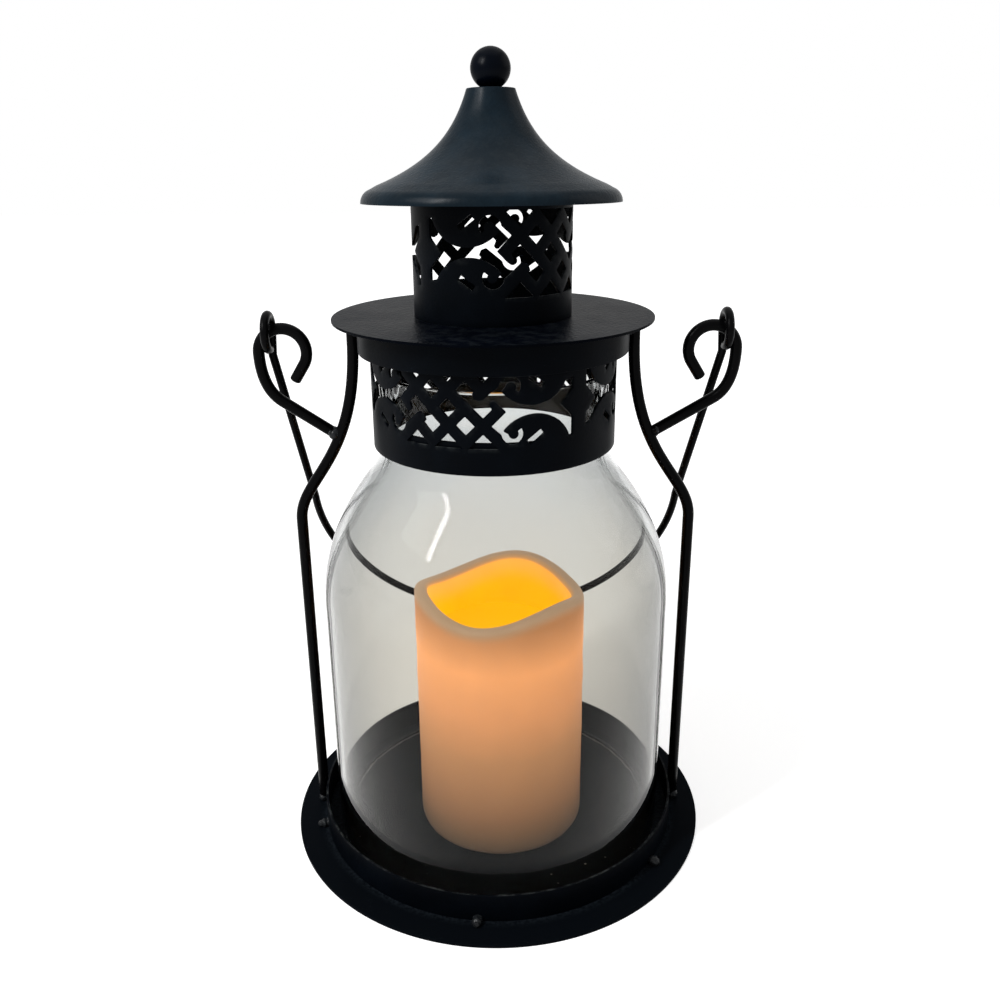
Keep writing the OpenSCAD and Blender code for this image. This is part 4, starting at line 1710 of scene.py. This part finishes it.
@dataclass
class Lid:
    """Canopy, spigot, pierced chimney, flared roof and finial, which lift off together."""

    sheet: float = 1.0
    canopy_edge: float = 0.35
    canopy_dents: Dents = Dents(0.2, 60.0, 2.0)
    chimney_band: float = 9.5
    chimney_repeats: int = 2
    chimney_turn: float = -151.6
    chimney_lap: float = 17.5
    lean: float = 1.8
    roof_top_r: float = 9.3
    roof_top_edge: float = 1.4
    roof_steps: int = 192
    roof_dents: Dents = Dents(0.2, 40.0, 6.0)
    eave_r: float = 5.5
    eave_step: float = 1.0
    eave_fall: float = 1.2
    eave_turn: float = 70.0
    eave_steps: int = 14
    flare_even: float = 0.75
    flare_steps: int = 48
    hole_r: float = 2.3
    knob_rows: int = 40
    knob_steps: int = 72
    knob_dents: Dents = Dents(0.06, 9.0, 5.0)

    def roof_outline(self) -> list[Vector]:
        """Draws the roof sheet in section.

        Returns:
            Its outline, out over the flare, round the eave and back inside.
        """
        low, high = box_mm("roof_cap")
        eave = Vector((high.x - self.eave_r, low.z))
        flare_r = eave.x - self.eave_step
        flare_h = high.z - low.z - self.eave_r - self.eave_fall
        spread = math.log(flare_r / self.roof_top_r)
        outer = [Vector((self.hole_r, high.z))]
        for i in range(self.flare_steps + 1):
            s = i / self.flare_steps
            reach = self.roof_top_r * math.exp(spread * s * (self.flare_even + (1 - self.flare_even) * s))
            outer.append(Vector((reach, high.z - flare_h * s)))
        outer = eased(outer, self.roof_top_edge, False)
        outer += arc(eave, self.eave_r, self.eave_turn, 0, self.eave_steps)
        inner = []
        for i, here in enumerate(outer):
            way = (outer[min(i + 1, len(outer) - 1)] - outer[max(i - 1, 0)]).normalized()
            inner.append(here + self.sheet * Vector((way.y, -way.x)))
        inner[0].x = self.hole_r
        inner[-1].y = outer[-1].y
        return outer + inner[::-1]

    def leaning(self, mesh: bpy.types.Mesh) -> bpy.types.Mesh:
        """Leans what stands on the canopy a little back, as the roof sits crooked on its chimney.

        Args:
            mesh: The mesh to change.

        Returns:
            The same mesh.
        """
        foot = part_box("canopy_disc")[1].z
        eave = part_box("roof_cap")[0].z
        slope = math.tan(math.radians(self.lean))
        for vertex in mesh.vertices:
            share = min(1.0, (vertex.co.z - foot) / (eave - foot))
            lift = -vertex.co.y * slope * share
            vertex.co.y += max(0.0, vertex.co.z - eave) * slope
            vertex.co.z += lift
        return mesh

    def build(self, tools: Toolbox) -> None:
        """Builds and dresses the pieces.

        Args:
            tools: The trees and enamels.
        """
        self.canopy(tools.enamel[PaintCoat.CANOPY])
        fret = (self.chimney_band, self.chimney_repeats, self.chimney_turn)
        chimney = self.leaning(Fretwork().band("chimney_fret", *fret, tools, self.chimney_lap))
        add_piece("pierced_chimney", chimney, None, "lid", "black_steel", "chimney_fret")
        roof = self.roof_dents.press(turned("roof_cap", self.roof_outline(), self.roof_steps))
        paint = tools.enamel[PaintCoat.ROOF]
        add_piece("flared_roof", self.leaning(roof), paint, "lid", "black_steel", "roof_cap")
        self.finial(tools.enamel[PaintCoat.KNOB])
        dress(tools.enamel[PaintCoat.BAND], "lid_spigot")
        steel = MOULDINGS[Stuff.BARE_STEEL].build(Stuff.BARE_STEEL.value)
        dress(steel, "finial_stud", "finial_nut")

    def canopy(self, paint: bpy.types.Material) -> None:
        """Builds the disc under the chimney.

        Args:
            paint: Its enamel.
        """
        low, high = box_mm("canopy_disc")
        inner = box_mm("chimney_fret")[1].x - self.sheet
        disc = ring_section(inner, high.x, low.z, high.z)
        plate = self.canopy_dents.press(turned("canopy_disc", eased(disc, self.canopy_edge)))
        add_piece("canopy_plate", plate, paint, "lid", "black_steel", "canopy_disc")

    def finial(self, paint: bpy.types.Material) -> None:
        """Builds the ball on the roof.

        Args:
            paint: Its enamel.
        """
        low, high = box_mm("finial_ball")
        radius = high.x
        middle = high.z - radius
        start = math.degrees(math.asin((low.z - middle) / radius))
        ball = [Vector((0, low.z)), *arc((0, middle), radius, start, 90, self.knob_rows)]
        ball[-1].x = 0.0
        knob = self.knob_dents.press(turned("finial_ball", ball, self.knob_steps, False))
        add_piece("finial_knob", self.leaning(knob), paint, "lid", "black_steel", "finial_ball")


@dataclass
class Bail:
    """Wire bail that hangs from the scroll hooks by two open eyes."""

    eye_r: float = 7.0
    eye_turn: float = 288.0
    eye_steps: int = 60
    neck_reach: float = 1.6
    leg: float = 95.0
    bow_r: float = 85.5
    bow_steps: int = 90
    wire_r: float = 1.8
    wire_sides: int = 16
    glass_gap: float = 0.3

    def line(self) -> list[Vector]:
        """Draws the wire.

        Returns:
            Its middle line, from the right eye round the bow to the left eye.
        """
        joint = next(j for j in frame["joints"] if j["name"] == "bail_swing")
        pivot_z = joint["pos_m"][2] / MM
        low, high = box_mm("bail_handle")
        right_x, left_x = high.x - self.wire_r, low.x + self.wire_r
        rest_y = box_mm("glass_jar")[1].x + self.wire_r + self.glass_gap
        lean = math.asin(rest_y / (self.leg + self.bow_r))

        def spot(x: float, along: float, square: float) -> Vector:
            """A point along the leg and square to the bow."""
            y = along * math.sin(lean) + square * math.cos(lean)
            return Vector((x, y, pivot_z - along * math.cos(lean) + square * math.sin(lean)))

        neck = self.neck_reach * self.eye_r
        start = math.degrees(math.acos(self.eye_r / neck))
        eye = arc((0, 0), self.eye_r, start + self.eye_turn, start, self.eye_steps)
        eye.append(Vector((neck, 0)))
        bow = [spot(p.x, self.leg + p.y, 0) for p in arc((0, 0), self.bow_r, 0, 180, self.bow_steps)]
        return [*(spot(right_x, *p) for p in eye), *bow, *(spot(left_x, *p) for p in reversed(eye))]

    def build(self, tools: Toolbox) -> None:
        """Builds and dresses the wire."""
        mesh = tools.sweep.rod(self.line(), self.wire_r, tools.enamel[PaintCoat.ROD], self.wire_sides)
        add_piece("bail_wire", mesh, None, "bail", "black_steel", "bail_handle")


CANDLE_INSIDE: dict[Stuff, tuple[str, ...]] = {
    Stuff.CORE_PLASTIC: ("candle_core", "battery_sleeve", "battery_cover"),
    Stuff.LAMP_LENS: ("led_lamp",),
    Stuff.CIRCUIT_BOARD: ("led_board",),
    Stuff.CELL_JACKET: ("battery_cells",),
    Stuff.SWITCH_PLASTIC: ("switch_body", "switch_slider"),
    Stuff.CONTACT_STEEL: ("battery_contacts", "bridge_contact"),
}


@dataclass
class Candle:
    """Battery candle: a wax shell with a wavy rim round a lit core."""

    DEPTH = "below_rim"

    wall: float = 5.5
    wall_steps: int = 40
    foot_edge: float = 4.0
    lip: float = 2.2
    edge_steps: int = 8
    turn_steps: int = 180
    mid_h: float = 114.0
    wave: float = 3.1
    lobes: int = 3
    trough: float = 13.0
    lean_x: float = 0.4
    lean_y: float = -0.35
    wear: float = 0.18
    wear_spacing: float = 9.0
    sharp: float = 60.0
    bowl_dish: float = 4.0
    bowl_rows: int = 20
    bowl_steps: int = 120
    bowl_under: Span = (0.6, 1.0)

    def measure(self) -> None:
        """Reads the candle's place from the frame."""
        low, high = box_mm("wax_shell")
        self.x = (low.x + high.x) / 2
        self.y = (low.y + high.y) / 2
        self.outer_r = (high.x - low.x) / 2
        self.inner_r = self.outer_r - self.wall
        self.foot_z = low.z
        self.rim_z = low.z + self.mid_h

    def rim(self, angle: float) -> float:
        """Height of the rim at an angle in degrees."""
        lobe = -self.wave * math.cos(math.radians(self.lobes * (angle - self.trough)))
        return self.rim_z + lobe + polar(angle).dot(Vector((self.lean_x, self.lean_y)))

    def section(self, angle: float) -> list[Vector]:
        """Draws the wall in section.

        Args:
            angle: Where round the candle, in degrees.

        Returns:
            Its outline, up the outside, over the lip and down the inside.
        """
        top, steps = self.rim(angle), self.wall_steps
        heel = (self.outer_r - self.foot_edge, self.foot_z + self.foot_edge)
        foot = arc(heel, self.foot_edge, -90, 0, self.edge_steps)
        over = arc((self.outer_r - self.lip, top - self.lip), self.lip, 0, 90, self.edge_steps)
        back = arc((self.inner_r + self.lip, top - self.lip), self.lip, 90, 180, self.edge_steps)
        rise = [foot[-1].lerp(over[0], i / steps) for i in range(1, steps)]
        fall = [back[-1].lerp(Vector((self.inner_r, self.foot_z)), i / steps) for i in range(1, steps + 1)]
        return [*foot, *rise, *over, *back, *fall]

    def shell(self) -> bpy.types.Mesh:
        """Makes the wax shell.

        Returns:
            Its mesh, with the depth below the rim at each point.
        """
        wax = bmesh.new()
        layer = wax.verts.layers.float.new(self.DEPTH)
        rings = []
        for k in range(self.turn_steps):
            angle = 360 * k / self.turn_steps
            ring = []
            for p in self.section(angle):
                patch = Vector((*polar(angle, p.x / self.wear_spacing), p.y / self.wear_spacing))
                spot = polar(angle, p.x + self.wear * noise.noise(patch))
                vertex = wax.verts.new(Vector((self.x + spot.x, self.y + spot.y, p.y)) * MM)
                vertex[layer] = self.rim(angle) - p.y
                ring.append(vertex)
            rings.append(ring)
        for ring, after in zip(rings, rings[1:] + rings[:1]):
            for i in range(len(ring)):
                j = (i + 1) % len(ring)
                wax.faces.new((ring[i], ring[j], after[j], after[i]))
        return closed_mesh(wax, "wax_shell", self.sharp)

    def bowl(self) -> bpy.types.Mesh:
        """Makes the dished floor of the hollow.

        Returns:
            Its mesh.
        """
        low, high = box_mm("led_diffuser")
        radius = (high.x - low.x) / 2
        turns = [math.pi / 2 * i / self.bowl_rows for i in range(self.bowl_rows + 1)]
        dish = [(radius * math.sin(t), high.z - self.bowl_dish * math.cos(t) ** 2) for t in turns]
        share, rise = self.bowl_under
        under = [(radius, low.z + self.bowl_dish / 2), (share * radius, low.z + rise), (0, low.z)]
        mesh = turned("led_diffuser", [*dish, *under], self.bowl_steps, False)
        mesh.transform(Matrix.Translation((self.x * MM, self.y * MM, 0)))
        return mesh

    def build(self) -> None:
        """Builds and dresses the pieces."""
        self.measure()
        wax = GlowingWax().build("glowing_wax", self)
        add_piece("wax_candle", self.shell(), wax, "candle", "wax", "wax_shell")
        amber = GlowBowl().build("glow_bowl", self)
        add_piece("glowing_hollow", self.bowl(), amber, "candle", "glow_diffuser", "led_diffuser")
        for stuff, nodes in CANDLE_INSIDE.items():
            dress(MOULDINGS[stuff].build(stuff.value), *nodes)


# Studio


@dataclass(frozen=True)
class Softbox:
    """Square softbox, or a strip where it has a length, with its place and sizes in metres."""

    name: str
    place: tuple[float, float, float]
    size: float
    watts: float
    length: Optional[float] = None

    def hang(self, target: Vector) -> None:
        """Hangs the lamp in its place.

        Args:
            target: The point that it faces.
        """
        light = bpy.data.lights.new(self.name, "AREA")
        light.shape = "RECTANGLE"
        light.size = self.size
        light.size_y = self.length or self.size
        light.energy = self.watts
        lamp = bpy.data.objects.new(self.name, light)
        place = Vector(self.place)
        turn = (target - place).to_track_quat("-Z", "Y").to_matrix().to_4x4()
        lamp.matrix_world = Matrix.Translation(place) @ turn
        lamp.visible_camera = False
        lamp.visible_transmission = False
        bpy.context.scene.collection.objects.link(lamp)


@dataclass
class Studio:
    """Floor, light and camera."""

    camera_place: tuple[float, float, float] = (2.15, -401.5, 302.6)
    camera_pitch: float = 20.17
    camera_roll: float = -0.509
    camera_near: float = 0.01
    focal_px: float = 988.26
    frame_px: float = 1000.0
    sensor: float = 36.0
    floor_half: float = 4.0
    floor_tone: Colour = (0.6, 0.6, 0.6)
    floor_fade: Span = (0.35, 0.9)
    floor_glow: Span = (0.66, 1.0)
    fill: float = 0.35
    target_z: float = 0.17
    lamps: tuple[Softbox, ...] = (
        Softbox("top_softbox", (0.0, 0.25, 1.5), 1.4, 5.0),
        Softbox("left_softbox", (-1.0, -0.45, 1.05), 0.6, 7.0),
        Softbox("right_softbox", (1.1, 0.2, 0.8), 0.8, 2.0),
        Softbox("strip_light", (-0.72, -0.6, 0.9), 0.07, 9.0, 0.5),
    )

    def build(self) -> None:
        """Sets up the studio."""
        bpy.context.scene.view_settings.view_transform = "Standard"
        self.floor()
        self.world()
        for lamp in self.lamps:
            lamp.hang(Vector((0, 0, self.target_z)))
        self.camera()

    @staticmethod
    def seen(nodes: Nodes) -> Sock:
        """Tells rays that show the background from rays that light the object.

        Args:
            nodes: The tree that asks.

        Returns:
            1 for rays from the camera, or by way of gloss or glass, and 0 for the others.
        """
        path = nodes.make("ShaderNodeLightPath")
        shown = nodes.math("MAXIMUM", path.of("Is Camera Ray"), path.of("Is Glossy Ray"))
        return nodes.math("MAXIMUM", shown, path.of("Is Transmission Ray"))

    @staticmethod
    def white(nodes: Nodes, kind: str, strength: float) -> Sock:
        """White light from a background or an emission node."""
        return nodes.make(kind, values={"Color": (1, 1, 1, 1), "Strength": strength})

    def world(self) -> None:
        """White behind the object, and a plain fill light on it."""
        world = bpy.data.worlds.new("studio")
        world.use_nodes = True
        world.node_tree.nodes.clear()
        nodes = Nodes(world.node_tree)
        dim, full = (self.white(nodes, "ShaderNodeBackground", s) for s in (self.fill, 1.0))
        mixed = nodes.make("ShaderNodeMixShader", values={0: self.seen(nodes), 1: dim, 2: full})
        nodes.make("ShaderNodeOutputWorld", values={"Surface": mixed})
        bpy.context.scene.world = world

    def floor(self) -> None:
        """Pale floor that keeps the object's shadow."""
        half = self.floor_half
        corners = [(-half, -half, 0), (half, -half, 0), (half, half, 0), (-half, half, 0)]
        mesh = bpy.data.meshes.new("floor")
        mesh.from_pydata(corners, [], [(0, 1, 2, 3)])
        shader = Shader("pale_floor")
        away = shader.step(shader.off_axis() * MM, *self.floor_fade)
        pale = shader.make("ShaderNodeBsdfDiffuse", values={"Color": (*self.floor_tone, 1)})
        near, far, dark = (self.white(shader, "ShaderNodeEmission", s) for s in (*self.floor_glow, 0.0))
        glow = shader.make("ShaderNodeMixShader", values={0: away, 1: near, 2: far})
        lift = shader.make("ShaderNodeMixShader", values={0: self.seen(shader), 1: dark, 2: glow})
        both = shader.make("ShaderNodeAddShader", values={0: pale, 1: lift})
        shader.make("ShaderNodeOutputMaterial", values={"Surface": both})
        mesh.materials.append(shader.material)
        floor = bpy.data.objects.new("floor", mesh)
        bpy.context.scene.collection.objects.link(floor)

    def camera(self) -> None:
        """Camera at the photograph's viewing angle."""
        data = bpy.data.cameras.new("camera")
        data.sensor_width = self.sensor
        data.lens = self.sensor * self.focal_px / self.frame_px
        data.clip_start = self.camera_near
        camera = bpy.data.objects.new("camera", data)
        turn = Matrix.Rotation(math.radians(90 - self.camera_pitch), 4, "X")
        roll = Matrix.Rotation(math.radians(self.camera_roll), 4, "Z")
        camera.matrix_world = Matrix.Translation(Vector(self.camera_place) * MM) @ turn @ roll
        bpy.context.scene.collection.objects.link(camera)
        bpy.context.scene.camera = camera


def main() -> None:
    """Builds the lantern's sub-assemblies and the studio."""
    logging.basicConfig(level=logging.INFO, format="%(name)s %(message)s")
    enamel = {coat: ENAMELS[coat].build(coat.value) for coat in PaintCoat}
    tools = Toolbox(RodSweep(), FretWrap(), WeldBeads(), enamel)
    Base().build(tools)
    Cage().build(tools)
    GlassJar().build()
    Collar().build(tools)
    Lid().build(tools)
    Bail().build(tools)
    Candle().build()
    Studio().build()


if __name__ == "__main__":
    main()
